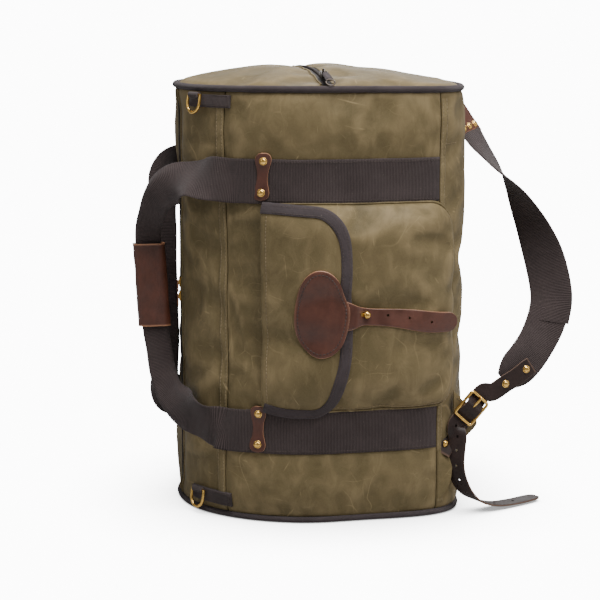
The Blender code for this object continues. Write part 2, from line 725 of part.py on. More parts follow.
def strap_routes():
    """Rows of x, y, z, across x, y, z, width, thickness for both backpack straps.

    Strap a hangs off the base in a wide loop and its tail lies on the floor. Strap b lies close
    to the base, with its tail on the floor behind the bag.
    """
    band, hide = WEBBING_THICK, LEATHER
    return {
        "a": {
            "chape": [
                (167, -46, 492, 0, -1, 0, 46, hide),
                (170, -48, 480, 0, -1, 0, 50, hide),
                (178, -51, 462, 0.05, -1, 0, 50, hide),
                (187, -56, 446, 0.1, -1, 0, 54, hide),
            ],
            "webbing": [
                (189.5, -57, 441.5, 0.1, -1, 0, WEBBING, band),
                (206, -62, 419, 0.35, -0.9, 0.1, WEBBING, band),
                (230, -67, 392, 0.45, -0.85, 0, WEBBING, band),
                (250, -72, 366, 0.6, -0.75, -0.2, WEBBING, band),
                (265, -78, 338, 0.8, -0.5, -0.35, WEBBING, band),
                (277, -85, 304, 0.93, -0.3, -0.25, WEBBING, band),
                (282, -93, 264, 1, -0.15, -0.05, 50, band + 1),
                (278, -101, 220, 1, 0, 0.05, 38, band + 3),
                (257, -108, 184, 0.75, 0, -0.6, 38, band + 4),
                (229, -112, 154, 0.75, 0, -0.7, 42, band + 1),
            ],
            "leather": [
                (243, -117.5, 166, 0.55, 0, -0.85, STRAP_LEATHER, hide),
                (229, -118.5, 158, 0.5, 0, -0.85, STRAP_LEATHER, hide),
                (214, -119.5, 151, 0.5, 0, -0.85, STRAP_LEATHER, hide),
                (197, -121.5, 142, 0.55, 0, -0.83, STRAP_LEATHER, hide),
            ],
            "tail": [
                (149, -141, 82, 0.8, -0.5, -0.3, STRAP_LEATHER, hide),
                (148, -145, 60, 0.7, -0.7, 0, STRAP_LEATHER, hide),
                (151, -151, 42, 0.7, -0.75, 0.15, STRAP_LEATHER, hide),
                (161, -154, 26, 0.5, -0.85, 0.15, STRAP_LEATHER, hide),
                (178, -152, 12, 0.2, -1, 0, STRAP_LEATHER, hide),
                (200, -145, 5, 0.3, -1, 0, STRAP_LEATHER, hide),
                (228, -134, 3, 0.4, -1, 0, STRAP_LEATHER, hide),
                (258, -120, 2, 0.4, -1, 0, 18, hide),
            ],
            "buckle": ((172, -128, 122.5), (-0.68, -0.05, -0.74), (0.74, 0, -0.68)),
            "side": -1,
        },
        "b": {
            "chape": [
                (167, 46, 492, 0, -1, 0, 46, hide),
                (169, 48, 480, 0, -1, 0, 50, hide),
                (175, 51, 462, 0, -1, 0, 50, hide),
                (182, 55, 446, 0, -1, 0, 54, hide),
            ],
            "webbing": [
                (184, 56, 441.5, 0, -1, 0, WEBBING, band),
                (192, 61, 412, 0, -1, -0.1, WEBBING, band),
                (191, 66, 380, 0, -1, -0.15, WEBBING, band),
                (186, 72, 345, 0, -1, -0.2, WEBBING, band),
                (182, 80, 300, 0, -1, -0.2, WEBBING, band),
                (181, 88, 255, 0, -1, -0.2, WEBBING, band),
                (183, 96, 210, 0, -1, -0.2, 50, band + 1),
                (184, 101, 178, 0, -1, -0.2, 40, band + 3),
                (182, 104, 160, 0, -1, -0.2, 42, band + 1),
            ],
            "leather": [
                (188, 101, 172, 0, -1, -0.2, STRAP_LEATHER, hide),
                (187, 104, 158, 0, -1, -0.25, STRAP_LEATHER, hide),
                (184, 110, 142, 0.1, -1, -0.35, STRAP_LEATHER, hide),
            ],
            "tail": [
                (157, 141, 62, 0.7, -0.7, 0, STRAP_LEATHER, hide),
                (150, 151, 40, 0.75, -0.65, 0, STRAP_LEATHER, hide),
                (139, 160, 20, 0.7, -0.7, 0, STRAP_LEATHER, hide),
                (122, 167, 7, 0.45, -0.9, 0, STRAP_LEATHER, hide),
                (100, 172, 2.4, 0.2, -1, 0, STRAP_LEATHER, hide),
                (76, 176, 2, 0.15, -1, 0, 18, hide),
            ],
            "buckle": ((177, 123, 112), (-0.35, 0.45, -0.82), (0.5, -0.8, -0.3)),
            "side": 1,
        },
    }


def buckle_axes(parts):
    """The middle of the buckle, and its directions across the strap, along it and out of it."""
    middle, along, across = (Vector(v) for v in parts["buckle"])
    along.normalize()
    across = (across - along * across.dot(along)).normalized()
    out = along.cross(across)
    if out.y * parts["side"] < 0:
        out, across = -out, -across
    return middle, across, along, out


def threaded(parts, places):
    """Rows for the leather where it runs under the frame's ends and over its middle bar."""
    middle, across, along, out = buckle_axes(parts)
    rows = []
    for d, h in places:
        rows.append((*(middle + along * d + out * h), *across, STRAP_LEATHER, LEATHER))
    return rows


def add_buckle(bag, name, parts, leather):
    """A rectangular frame with a bar across its middle, and one prong that turns on the bar."""
    middle, across, along, out = buckle_axes(parts)
    body = "strap_" + name
    turn = Matrix((across, along, out)).transposed()
    width, length, thick = BUCKLE
    frame = bag.block("buckle_frame_" + name, BUCKLE, middle, turn, 0.8, "brass", body)
    window = (length - 3 * BUCKLE_WIRE) / 2
    for sign, label in ((-1, "low"), (1, "high")):
        place = middle + along * (sign * (window + BUCKLE_WIRE) / 2)
        size = (width - 2 * BUCKLE_WIRE, window, thick + 2)
        helper = bag.block(f"helper_window_{label}_{name}", size, place, turn, 0.2, "brass")
        bag.combine(frame, helper, "DIFFERENCE")
    slot = bag.block(
        "helper_slot_" + name, (PRONG + 1.8, 11, 9), middle + along * -3.4 + out * 2.5, turn, 0.2, "brass"
    )
    bag.combine(leather, slot, "DIFFERENCE")
    bag.pivot("prong_" + name, middle, body)
    route = [(-3.9, 0.2), (-6, 2.2), (-9, 3.6), (-13, 3.7), (-18, 3.2)]
    stations = [(middle + along * d + out * h, across, PRONG, PRONG) for d, h in route]
    bag.strap("buckle_prong_" + name, stations, "brass", "prong_" + name)


def add_backpack_straps(bag):
    for name, parts in strap_routes().items():
        bag.strap("strap_chape_" + name, stations_of(parts["chape"], 2), "leather")
        body = "strap_" + name
        bag.pivot(body, parts["webbing"][0][:3])
        bag.strap("strap_webbing_" + name, stations_of(parts["webbing"], 3), "webbing", body)
        through = [(-24, -4.2), (-14.2, -3.9), (-8, -0.2), (-3.4, 3.1), (0, 3.8)]
        through += [(3.4, 3.1), (8, -0.2), (14.2, -3.9), (15.8, -3.9)]
        beyond = [(18.3, -3.8), (28, -1.8)]
        if name == "b":
            through, beyond = through + beyond, []
        rows = parts["leather"] + threaded(parts, through)
        if name == "b":
            rows += parts["tail"]
        leather = bag.strap("strap_leather_" + name, stations_of(rows, 3), "dark_leather", body)
        add_buckle(bag, name, parts, leather)
        if name == "a":
            rows = threaded(parts, beyond) + parts["tail"]
            bag.pivot("tail_" + name, rows[0][:3])
            bag.strap("strap_tail_" + name, stations_of(rows, 3), "dark_leather", "tail_" + name)
        add_wing(bag, name, parts["side"])


def add_wing(bag, name, side):
    """The canvas triangle, sewn into the corner seam, that holds the strap's lower end."""
    up = Vector((0, 0, 1))
    stations = [
        (Vector((156, 118 * side, 112)), up, 74, 2.0),
        (Vector((166, 113.5 * side, 112)), up, 52, 2.0),
        (Vector((178, 108.5 * side, 112)), up, 18, 2.0),
    ]
    bag.strap("strap_wing_" + name, stations, "canvas")


def build():
    clear_scene()
    bag = Bag()
    add_panels(bag)
    add_ends(bag)
    add_end_zip(bag)
    add_main_zip(bag)
    add_bands(bag)
    add_handles(bag)
    add_d_rings(bag)
    add_pocket(bag)
    add_flap(bag)
    add_backpack_straps(bag)


build()
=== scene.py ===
"""Looks of the waxed-canvas duffel bag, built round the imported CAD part. Metres, +Z up.

The canvas is one cloth simulation of the bag's side wall. Everything that lies on the bag, such
as webbing, seams, rivets and the pocket, is placed on the simulated skin, so it follows each bulge.
"""

import json
import math

import bmesh
import bpy
import numpy as np
from mathutils import Matrix, Vector, noise


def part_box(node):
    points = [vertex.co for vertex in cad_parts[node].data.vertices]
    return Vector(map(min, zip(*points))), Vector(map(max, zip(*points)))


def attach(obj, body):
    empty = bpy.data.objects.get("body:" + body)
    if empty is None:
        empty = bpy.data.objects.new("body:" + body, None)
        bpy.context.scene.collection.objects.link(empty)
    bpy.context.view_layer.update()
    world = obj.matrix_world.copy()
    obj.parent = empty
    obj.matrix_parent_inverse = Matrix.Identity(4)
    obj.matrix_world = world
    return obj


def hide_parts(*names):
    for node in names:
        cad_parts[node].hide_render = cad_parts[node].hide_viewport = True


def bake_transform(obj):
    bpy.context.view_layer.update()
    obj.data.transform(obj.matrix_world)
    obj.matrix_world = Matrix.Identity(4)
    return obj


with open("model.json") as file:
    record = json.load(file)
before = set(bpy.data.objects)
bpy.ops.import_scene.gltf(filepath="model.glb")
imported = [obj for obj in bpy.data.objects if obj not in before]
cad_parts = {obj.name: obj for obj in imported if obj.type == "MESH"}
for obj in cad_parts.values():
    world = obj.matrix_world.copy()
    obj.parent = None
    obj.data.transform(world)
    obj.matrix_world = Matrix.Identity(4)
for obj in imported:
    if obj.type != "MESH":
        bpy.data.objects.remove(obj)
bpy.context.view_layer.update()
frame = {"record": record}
record = frame["record"]
MM = 0.001
UP = Vector((0, 0, 1))


def low(node):
    return Vector(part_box(node)[0])


def high(node):
    return Vector(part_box(node)[1])


def middle(node):
    return (low(node) + high(node)) / 2


# ---------------------------------------------------------------- sizes, from the frame

HALF_WIDTH = -low("zip_panel_front").x
HALF_DEPTH = -low("front_panel").y
BOTTOM = low("front_panel").z
TOP = high("front_panel").z
PIPING_Z = {"top": middle("piping_top").z, "bottom": middle("piping_bottom").z}
PIPING_RADIUS = 3.9 * MM
FRONT_SEAM_X = low("front_panel").x
BASE_SEAM_X = low("base_panel").x
ZIP_SIDE_POWER = 2.0
BASE_SIDE_POWER = 5.0
WALL = 2.0 * MM
SKIN_STEP = 5 * MM
CLOTH_STEPS = 18
MOST_BULGE = 8.5 * MM
THREAD_PITCH = 4.2 * MM
THREAD_RADIUS = 0.38 * MM
WEBBING = high("band_front_upper").z - low("band_front_upper").z
WEBBING_THICK = 2.2 * MM
LEATHER = 2.3 * MM
BAND_Z = {"upper": middle("band_front_upper").z, "lower": middle("band_front_lower").z}
ZIP_EDGE = 8 * MM


# ---------------------------------------------------------------- materials


class Nodes:
    """Short calls for building one material's node tree."""

    def __init__(self, name, roughness=0.6, metallic=0.0, sheen=0.0, specular=0.5, coat=0.0):
        self.material = bpy.data.materials.new(name)
        self.material.use_nodes = True
        self.tree = self.material.node_tree
        self.shader = self.tree.nodes["Principled BSDF"]
        self.shader.inputs["Roughness"].default_value = roughness
        self.shader.inputs["Metallic"].default_value = metallic
        self.shader.inputs["Sheen Weight"].default_value = sheen
        self.shader.inputs["Specular IOR Level"].default_value = specular
        self.shader.inputs["Coat Weight"].default_value = coat

    def node(self, kind, inputs=None, **settings):
        node = self.tree.nodes.new("ShaderNode" + kind)
        for key, value in settings.items():
            setattr(node, key, value)
        for key, value in (inputs or {}).items():
            self.put(node.inputs[key], value)
        return node

    def put(self, socket, value):
        if isinstance(value, bpy.types.NodeSocket):
            self.tree.links.new(value, socket)
        else:
            socket.default_value = value

    def place(self, scale=1.0, stretch=(1, 1, 1)):
        """Object coordinates, scaled."""
        source = self.node("TexCoord").outputs["Object"]
        return self.node("Mapping",
            {"Vector": source, "Scale": [scale * s for s in stretch]}).outputs[0]

    def uv(self, scale=(1, 1, 1)):
        source = self.node("UVMap", uv_map="flat").outputs[0]
        return self.node("Mapping", {"Vector": source, "Scale": scale}).outputs[0]

    def noise(self, vector, scale, detail=4.0, rough=0.55, distortion=0.0):
        inputs = {"Vector": vector, "Scale": scale, "Detail": detail, "Roughness": rough}
        inputs["Distortion"] = distortion
        return self.node("TexNoise", inputs).outputs["Fac"]

    def ramp(self, value, low_in, high_in, low_out=0.0, high_out=1.0):
        """Maps a range to another and holds it at the ends."""
        inputs = {"Value": value, 1: low_in, 2: high_in, 3: low_out, 4: high_out}
        return self.node("MapRange", inputs, clamp=True).outputs[0]

    def math(self, operation, one, two=0.5):
        return self.node("Math", {0: one, 1: two}, operation=operation).outputs[0]

    def mix(self, share, one, two, blend="MIX"):
        node = self.node("Mix", data_type="RGBA", blend_type=blend)
        self.put(node.inputs["Factor"], share)
        for socket, value in ((node.inputs[6], one), (node.inputs[7], two)):
            self.put(socket, value if isinstance(value, bpy.types.NodeSocket) else (*value, 1))
        return node.outputs[2]

    def attribute(self, name):
        return self.node("Attribute", attribute_name=name).outputs["Fac"]

    def finish(self, colour, roughness=None, bumps=()):
        """Bumps are (height, strength, distance in metres), from the coarsest to the finest."""
        self.put(self.shader.inputs["Base Color"], colour)
        if roughness is not None:
            self.put(self.shader.inputs["Roughness"], roughness)
        normal = None
        for height, strength, distance in bumps:
            inputs = {"Height": height, "Strength": strength, "Distance": distance}
            if normal:
                inputs["Normal"] = normal
            normal = self.node("Bump", inputs).outputs[0]
        if normal:
            self.put(self.shader.inputs["Normal"], normal)
        return self.material


def canvas_material(name, light=(0.222, 0.165, 0.083), mid=(0.122, 0.091, 0.0415),
    dark=(0.086, 0.065, 0.028)):
    """Waxed canvas: cloudy wax, pale scuffs along its creases, short scratches, a plain weave and painted shade
    in the hollows of its folds.
    """
    n = Nodes(name, roughness=0.7, sheen=0.04, specular=0.16)
    place = n.place()
    clouds = n.noise(place, 13, 6, 0.66, 0.3)
    patches = n.noise(n.place(1, (1, 1, 0.6)), 46, 5, 0.66, 0.8)
    colour = n.mix(n.ramp(clouds, 0.34, 0.66), dark, mid)
    colour = n.mix(n.ramp(patches, 0.46, 0.76, 0, 0.42), colour, light)
    ridge = n.attribute("ridge")
    worn = n.math("MULTIPLY", n.ramp(ridge, 0.12, 0.75), n.ramp(patches, 0.34, 0.6, 0.35, 1))
    colour = n.mix(n.math("MULTIPLY", worn, 0.7), colour, light)
    pale = tuple(min(1, c * 1.45) for c in light)
    for scale, stretch, width in ((14, (1, 1, 0.45), 0.011), (21, (0.5, 0.5, 1), 0.008),
        (33, (1, 1, 1), 0.01)):
        warp = n.node("TexNoise", {"Vector": place, "Scale": 7.0 + scale / 5}).outputs["Color"]
        small = n.node("VectorMath", {0: warp, "Scale": 0.09}, operation="SCALE").outputs[0]
        moved = n.node("VectorMath", {0: n.place(1, stretch), 1: small}, operation="ADD").outputs[0]
        cells = n.node("TexVoronoi", {"Vector": moved, "Scale": scale}, feature="DISTANCE_TO_EDGE")
        line = n.ramp(cells.outputs["Distance"], 0, width, 1, 0)
        gate = n.ramp(n.noise(place, scale * 0.9, 2), 0.55, 0.68)
        streak = n.math("MULTIPLY", n.math("MULTIPLY", line, gate), 0.5)
        colour = n.mix(streak, colour, pale)
    for turn, scale in ((0.5, 26), (-0.7, 34), (1.35, 30), (0.05, 40)):
        source = n.node("TexCoord").outputs["Object"]
        turned = n.node("Mapping", {"Vector": source, "Rotation": (0.2, turn, 0.3)}).outputs[0]
        narrow = n.node("Mapping", {"Vector": turned, "Scale": (6, 1.2, 0.8)}).outputs[0]
        scuff = n.ramp(n.noise(narrow, scale, 2, 0.5, 0.3), 0.71, 0.8, 0, 0.55)
        colour = n.mix(scuff, colour, pale)
    # painted shade: the canvas is darkened where the cloth lies in a hollow of its folds
    hollow = n.attribute("hollow")
    colour = n.mix(n.math("MULTIPLY", n.ramp(hollow, 0.15, 0.9), 0.16), colour,
        tuple(c * 0.6 for c in dark))
    weave_u = n.node("TexWave", {"Vector": n.uv(), "Scale": 330.0, "Distortion": 0.6},
        bands_direction="X")
    weave_v = n.node("TexWave", {"Vector": n.uv(), "Scale": 330.0, "Distortion": 0.6},
        bands_direction="Y")
    weave = n.math("ADD", weave_u.outputs["Fac"], weave_v.outputs["Fac"])
    fleck = n.noise(place, 900, 2)
    colour = n.mix(n.ramp(fleck, 0.35, 0.7, 0, 0.16), colour, light)
    rough = n.ramp(clouds, 0.3, 0.7, 0.5, 0.74)
    bumps = ((patches, 0.35, 1.2 * MM), (n.noise(place, 120, 3), 0.25, 0.5 * MM),
        (weave, 0.18, 0.12 * MM))
    return n.finish(colour, rough, bumps)


def webbing_material(name, tone=(0.034, 0.0252, 0.0243), rib=1.75 * MM):
    """Cotton webbing: ribs across its width, paler on the rib crests, and flecks of lint."""
    n = Nodes(name, roughness=0.9, sheen=0.09, specular=0.14)
    ribs = n.node("TexWave", {"Vector": n.uv(), "Scale": 0.314 / rib, "Distortion": 0.25},
        bands_direction="X")
    threads = n.node("TexWave", {"Vector": n.uv(), "Scale": 150.0, "Distortion": 1.0},
        bands_direction="Y")
    cloud = n.noise(n.place(), 30, 4)
    colour = n.mix(n.ramp(cloud, 0.35, 0.65), tuple(c * 0.78 for c in tone),
        tuple(c * 1.25 for c in tone))
    # the colour is made paler along the rib crests
    raised = n.ramp(ribs.outputs["Fac"], 0.3, 0.95, 0, 0.75)
    colour = n.mix(raised, colour, tuple(min(1, c * 2.3) for c in tone))
    lint = n.ramp(n.noise(n.place(), 420, 2), 0.7, 0.8, 0, 0.3)
    colour = n.mix(lint, colour, (0.2, 0.17, 0.14))
    bumps = ((ribs.outputs["Fac"], 0.8, 0.5 * MM), (threads.outputs["Fac"], 0.3, 0.2 * MM))
    return n.finish(colour, None, bumps)


def leather_material(name, base, roughness=0.42, cut=(0.42, 0.2, 0.105), shine=0.45):
    """Vegetable-tanned leather: pores, a cloudy dye and a waxed surface."""
    n = Nodes(name, roughness=roughness, specular=shine, coat=0.04)
    n.shader.inputs["Coat Roughness"].default_value = 0.35
    place = n.place()
    cloud = n.noise(place, 38, 5, 0.6)
    streak = n.noise(n.place(1, (1, 1, 0.2)), 140, 3)
    colour = n.mix(n.ramp(cloud, 0.35, 0.68), tuple(c * 0.72 for c in base),
        tuple(min(1, c * 1.25) for c in base))
    colour = n.mix(n.ramp(streak, 0.55, 0.75, 0, 0.3), colour, tuple(min(1, c * 1.7) for c in base))
    rub = n.attribute("edge")
    colour = n.mix(n.ramp(rub, 0.35, 1.0, 0, 0.9), colour, cut)
    pores = n.node("TexVoronoi", {"Vector": place, "Scale": 900.0}).outputs["Distance"]
    grain = n.noise(place, 260, 4)
    rough = n.ramp(cloud, 0.3, 0.7, roughness - 0.08, roughness + 0.12)
    return n.finish(colour, rough, ((grain, 0.2, 0.3 * MM), (pores, 0.12, 0.1 * MM)))


def brass_material():
    n = Nodes("brass", roughness=0.22, metallic=1.0)
    place = n.place()
    tarnish = n.noise(place, 160, 4)
    colour = n.mix(n.ramp(tarnish, 0.4, 0.7), (0.83, 0.52, 0.15), (0.6, 0.35, 0.09))
    rough = n.ramp(n.noise(place, 420, 3), 0.3, 0.7, 0.14, 0.27)
    return n.finish(colour, rough, ())


def plain_material(name, colour, roughness, metallic=0.0, grain=600):
    n = Nodes(name, roughness=roughness, metallic=metallic, specular=0.35)
    place = n.place()
    cloud = n.noise(place, grain / 8, 3)
    mixed = n.mix(n.ramp(cloud, 0.35, 0.65), tuple(c * 0.75 for c in colour),
        tuple(min(1, c * 1.3) for c in colour))
    return n.finish(mixed, None, ((n.noise(place, grain, 2), 0.3, 0.2 * MM),))


MATERIALS = {
    "canvas": canvas_material("canvas"),
    "seam_canvas": canvas_material("seam_canvas", light=(0.29, 0.22, 0.118),
    mid=(0.15, 0.113, 0.053)),
    "webbing": webbing_material("webbing"),
    "binding": webbing_material("binding", (0.036, 0.028, 0.029), 1.2 * MM),
    "leather": leather_material("leather", (0.072, 0.0225, 0.0125)),
    "dark_leather": leather_material("dark_leather", (0.021, 0.0115, 0.0095), 0.46,
    (0.13, 0.075, 0.05), 0.25),
    "edge": leather_material("leather_edge", (0.33, 0.155, 0.075), 0.6),
    "brass": brass_material(),
    "steel": plain_material("dark_metal", (0.09, 0.075, 0.065), 0.35, 1.0),
    "zip": plain_material("zip_tape", (0.024, 0.02, 0.019), 0.75),
    "coil": plain_material("zip_coil", (0.03, 0.024, 0.023), 0.42),
    "thread": plain_material("tan_thread", (0.2, 0.15, 0.085), 0.7),
    "dark_thread": plain_material("dark_thread", (0.05, 0.035, 0.03), 0.7),
    "lining": plain_material("inside", (0.1, 0.08, 0.045), 0.85),
}


# ---------------------------------------------------------------- meshes


def smoothstep(low_end, high_end, value):
    t = max(0.0, min(1.0, (value - low_end) / (high_end - low_end)))
    return t * t * (3 - 2 * t)


def bump(value, centre, width):
    return math.exp(-(((value - centre) / width) ** 2))


def spread(start, end, steps):
    return [start + (end - start) * i / steps for i in range(steps + 1)]


def make_object(name, verts, faces, material, uvs=None, values=None, smooth=45, levels=0):
    """Makes a mesh object; uvs holds metres on the flat cloth, and values named numbers, one per vertex."""
    mesh = bpy.data.meshes.new(name)
    mesh.from_pydata([tuple(v) for v in verts], [], faces)
    mesh.validate()
    if uvs is not None:
        layer = mesh.uv_layers.new(name="flat")
        index = np.zeros(len(mesh.loops), np.int32)
        mesh.loops.foreach_get("vertex_index", index)
        layer.data.foreach_set("uv", np.array(uvs, np.float32)[index].ravel())
    for key, numbers in (values or {}).items():
        layer = mesh.attributes.new(key, "FLOAT", "POINT")
        layer.data.foreach_set("value", np.array(numbers, np.float32))
    mesh.materials.append(MATERIALS[material])
    mesh.shade_smooth()
    mesh.set_sharp_from_angle(angle=math.radians(smooth))
    obj = bpy.data.objects.new(name, mesh)
    bpy.context.scene.collection.objects.link(obj)
    if levels:
        modifier = obj.modifiers.new("smooth", "SUBSURF")
        modifier.levels = modifier.render_levels = levels
    return obj


def grid_faces(rows, columns, start=0, flip=False, wrap=False):
    faces = []
    for i in range(rows if wrap else rows - 1):
        for j in range(columns - 1):
            a, b = start + i * columns + j, start + (i + 1) % rows * columns + j
            face = (a, b, b + 1, a + 1)
            faces.append(face[::-1] if flip else face)
    return faces


def thick_sheet(name, outer, inner, material, uvs=None, values=None, levels=0, smooth=45):
    """A closed sheet between two grids of points (rows, columns, 3), outer face first."""
    outer, inner = np.asarray(outer, float), np.asarray(inner, float)
    rows, columns = outer.shape[:2]
    count = rows * columns
    verts = np.concatenate([outer.reshape(-1, 3), inner.reshape(-1, 3)])
    faces = grid_faces(rows, columns) + grid_faces(rows, columns, count, flip=True)
    border = [(i, 0) for i in range(rows)] + [(rows - 1, j) for j in range(1, columns)]
    border += [(i, columns - 1) for i in range(rows - 2, -1, -1)]
    border += [(0, j) for j in range(columns - 2, 0, -1)]
    ids = [i * columns + j for i, j in border]
    for a, b in zip(ids, ids[1:] + ids[:1]):
        faces.append((a, a + count, b + count, b))
    if uvs is not None:
        uvs = np.concatenate([np.reshape(uvs, (-1, 2))] * 2)
    if values:
        values = {key: np.concatenate([np.ravel(v)] * 2) for key, v in values.items()}
    obj = make_object(name, verts, faces, material, uvs, values, smooth, levels)
    recalculate(obj)
    return obj


def recalculate(obj):
    bm = bmesh.new()
    bm.from_mesh(obj.data)
    bmesh.ops.recalc_face_normals(bm, faces=bm.faces)
    bm.to_mesh(obj.data)
    bm.free()


def grid_normals(points):
    """Unit normals of a grid of points, pointing away from the bag's middle line."""
    across = np.gradient(points, axis=0)
    along = np.gradient(points, axis=1)
    normals = np.cross(across, along)
    normals /= np.linalg.norm(normals, axis=2, keepdims=True) + 1e-12
    return normals


def blur(grid, times=1):
    grid = grid.copy()
    for _ in range(times):
        padded = np.pad(grid, [(1, 1), (1, 1)] + [(0, 0)] * (grid.ndim - 2), mode="edge")
        grid = (padded[:-2, 1:-1] + padded[2:, 1:-1] + padded[1:-1, :-2] + padded[1:-1, 2:]
            + 2 * grid) / 6
    return grid


def simulate(start, pins, pressure=3.0, spare=0.03, cap=MOST_BULGE, bending=4.0, steps=CLOTH_STEPS):
    """Cloth simulation of a grid of points: pins is how firmly each point is held, and spare the share
    of extra cloth that has to gather. Returns the grid, no point further than cap from its start."""
    rows, columns = start.shape[:2]
    mesh = bpy.data.meshes.new("cloth")
    mesh.from_pydata([tuple(p) for p in start.reshape(-1, 3)], [], grid_faces(rows, columns))
    obj = bpy.data.objects.new("cloth", mesh)
    bpy.context.scene.collection.objects.link(obj)
    group = obj.vertex_groups.new(name="held")
    for index, weight in enumerate(pins.ravel()):
        if weight > 0:
            group.add([index], float(weight), "REPLACE")
    cloth = obj.modifiers.new("cloth", "CLOTH")
    cloth.point_cache.frame_start = 1
    cloth.point_cache.frame_end = steps
    settings = cloth.settings
    settings.quality = 6
    settings.mass = 0.35
    settings.tension_stiffness = settings.compression_stiffness = 22
    settings.shear_stiffness = 9
    settings.bending_stiffness = bending
    settings.air_damping = 6
    settings.vertex_group_mass = "held"
    settings.shrink_min = -spare
    settings.use_pressure = True
    settings.uniform_pressure_force = pressure
    settings.effector_weights.gravity = 0
    cloth.collision_settings.use_collision = False
    for step in range(1, steps + 1):
        bpy.context.scene.frame_set(step)
    evaluated = obj.evaluated_get(bpy.context.evaluated_depsgraph_get())
    ended = np.zeros(rows * columns * 3)
    evaluated.data.vertices.foreach_get("co", ended)
    moved = blur(ended.reshape(start.shape) - start, 3) * (1 - pins[:, :, None])
    length = np.linalg.norm(moved, axis=2, keepdims=True)
    moved *= np.minimum(1, cap / np.maximum(length, 1e-9))
    bpy.data.objects.remove(obj)
    bpy.context.scene.frame_set(1)
    return start + moved


class Surface:
    """A grid of points over u and v, in metres along the flat cloth, that other pieces lie on."""

    def __init__(self, us, vs, points):
        self.us, self.vs = np.asarray(us, float), np.asarray(vs, float)
        self.points = points
        self.normals = grid_normals(blur(points, 2))

    def at(self, u, v, off=0.0):
        i = float(np.clip(np.interp(u, self.us, np.arange(len(self.us))), 0, len(self.us) - 1.0001))
        j = float(np.clip(np.interp(v, self.vs, np.arange(len(self.vs))), 0, len(self.vs) - 1.0001))
        a, b = int(i), int(j)
        s, t = i - a, j - b
        found = []
        for grid in (self.points, self.normals):
            near = grid[a, b] * (1 - t) + grid[a, b + 1] * t
            far = grid[a + 1, b] * (1 - t) + grid[a + 1, b + 1] * t
            found.append(near * (1 - s) + far * s)
        point, normal = Vector(found[0]), Vector(found[1]).normalized()
        return point + normal * off

    def axes(self, u, v):
        """Unit vectors along u, along v and out of the surface."""
        step = 3 * MM
        along = (self.at(u + step, v) - self.at(u - step, v)).normalized()
        up = (self.at(u, v + step) - self.at(u, v - step)).normalized()
        return along, up, along.cross(up).normalized()


def relief(points, normals, spacing):
    """How far each point stands out of its neighbours, as the amounts of ridge and of hollow."""
    height = ((points - blur(points, 10)) * normals).sum(axis=2) / spacing
    fine = ((points - blur(points, 3)) * normals).sum(axis=2) / spacing * 2.2
    total = height + fine
    return {"ridge": np.clip(total * 1.5, 0, 1), "hollow": np.clip(-total * 1.5, 0, 1)}


# ---------------------------------------------------------------- the bag's skin


def power_at(x):
    return ZIP_SIDE_POWER if x < 0 else BASE_SIDE_POWER


def outline(angle):
    c, s = math.cos(angle), math.sin(angle)
    n = power_at(c)
    r = (abs(c / HALF_WIDTH) ** n + abs(s / HALF_DEPTH) ** n) ** (-1 / n)
    x, y = r * c, r * s
    nx = math.copysign(abs(x / HALF_WIDTH) ** (n - 1) / HALF_WIDTH, x)
    ny = math.copysign(abs(y / HALF_DEPTH) ** (n - 1) / HALF_DEPTH, y)
    return Vector((x, y, 0)), Vector((nx, ny, 0)).normalized()


def arc_table(steps=4000):
    """Length round the section from the zip, over the pocket side, and the angle at each length."""
    angles = np.linspace(-math.pi, math.pi, steps)
    points = np.array([outline(a)[0] for a in angles])
    lengths = np.concatenate([[0], np.cumsum(np.linalg.norm(np.diff(points, axis=0), axis=1))])
    return angles, lengths


ANGLES, LENGTHS = arc_table()
ROUND = float(LENGTHS[-1])


def arc_at(x, side=-1):
    """Length round the section at this x, on the pocket side (-1) or the far side (1)."""
    n = power_at(x)
    y = HALF_DEPTH * (1 - min(1, abs(x / HALF_WIDTH)) ** n) ** (1 / n)
    return float(np.interp(math.atan2(side * y, x), ANGLES, LENGTHS))


def form(arc, z):
    """The stuffed bag before its cloth is simulated: bulges between the bands and a slack waist."""
    angle = float(np.interp(arc, LENGTHS, ANGLES))
    point, normal = outline(angle)
    zip_side = max(0.0, -math.cos(angle)) ** 1.5
    flat_side = abs(math.sin(angle))
    off = -0.9 * MM
    for name in BAND_Z:
        off -= 1.4 * MM * bump(z, BAND_Z[name], WEBBING * 0.6) * flat_side
    beside = smoothstep(6 * MM, 45 * MM, abs(point.y))  # the zip itself runs straight
    bulge = 3.4 * bump(z, 0.445, 0.05) + 3.6 * bump(z, 0.075, 0.055) - 5.0 * bump(z, 0.27, 0.12)
    edge = min(z - BOTTOM, TOP - z)
    off += zip_side * MM * (beside * bulge - (1 - beside) * 4.6 * smoothstep(0, 26 * MM, edge))
    off += flat_side * MM * (1.6 * bump(z, 0.46, 0.03) + 1.8 * bump(z, 0.045, 0.035))
    edge = min(z - BOTTOM, TOP - z)
    off -= 1.6 * MM * math.exp(-edge / (5 * MM))
    place = Vector((point.x, point.y, z))
    wrinkle = noise.noise(place * 26) + 0.6 * noise.noise(place * 60 + Vector((3, 1, 7)))
    fold = noise.noise(Vector((point.x * 30, point.y * 30, z * 9)))
    off += (0.9 * wrinkle + 1.3 * fold * (0.5 + zip_side)) * MM * smoothstep(0, 20 * MM, edge)
    slack = bump(point.x, -0.122, 0.026) * bump(z, 0.262, 0.11) + 0.6 * bump(point.x, -0.12,
        0.03) * bump(z, 0.055, 0.03)
    crease = 1 - 2.6 * abs(noise.noise(Vector((point.x * 42 + z * 8, point.y * 42, z * 5 + 2))))
    off += 3.0 * MM * slack * max(0.0, crease) ** 2
    return place + normal * off


SEAM_ARCS = {
    "zip_front": ZIP_EDGE,
    "front": arc_at(FRONT_SEAM_X),
    "base_front": arc_at(BASE_SEAM_X),
    "base_back": arc_at(BASE_SEAM_X, 1),
    "back": arc_at(FRONT_SEAM_X, 1),
    "zip_back": ROUND - ZIP_EDGE,
}


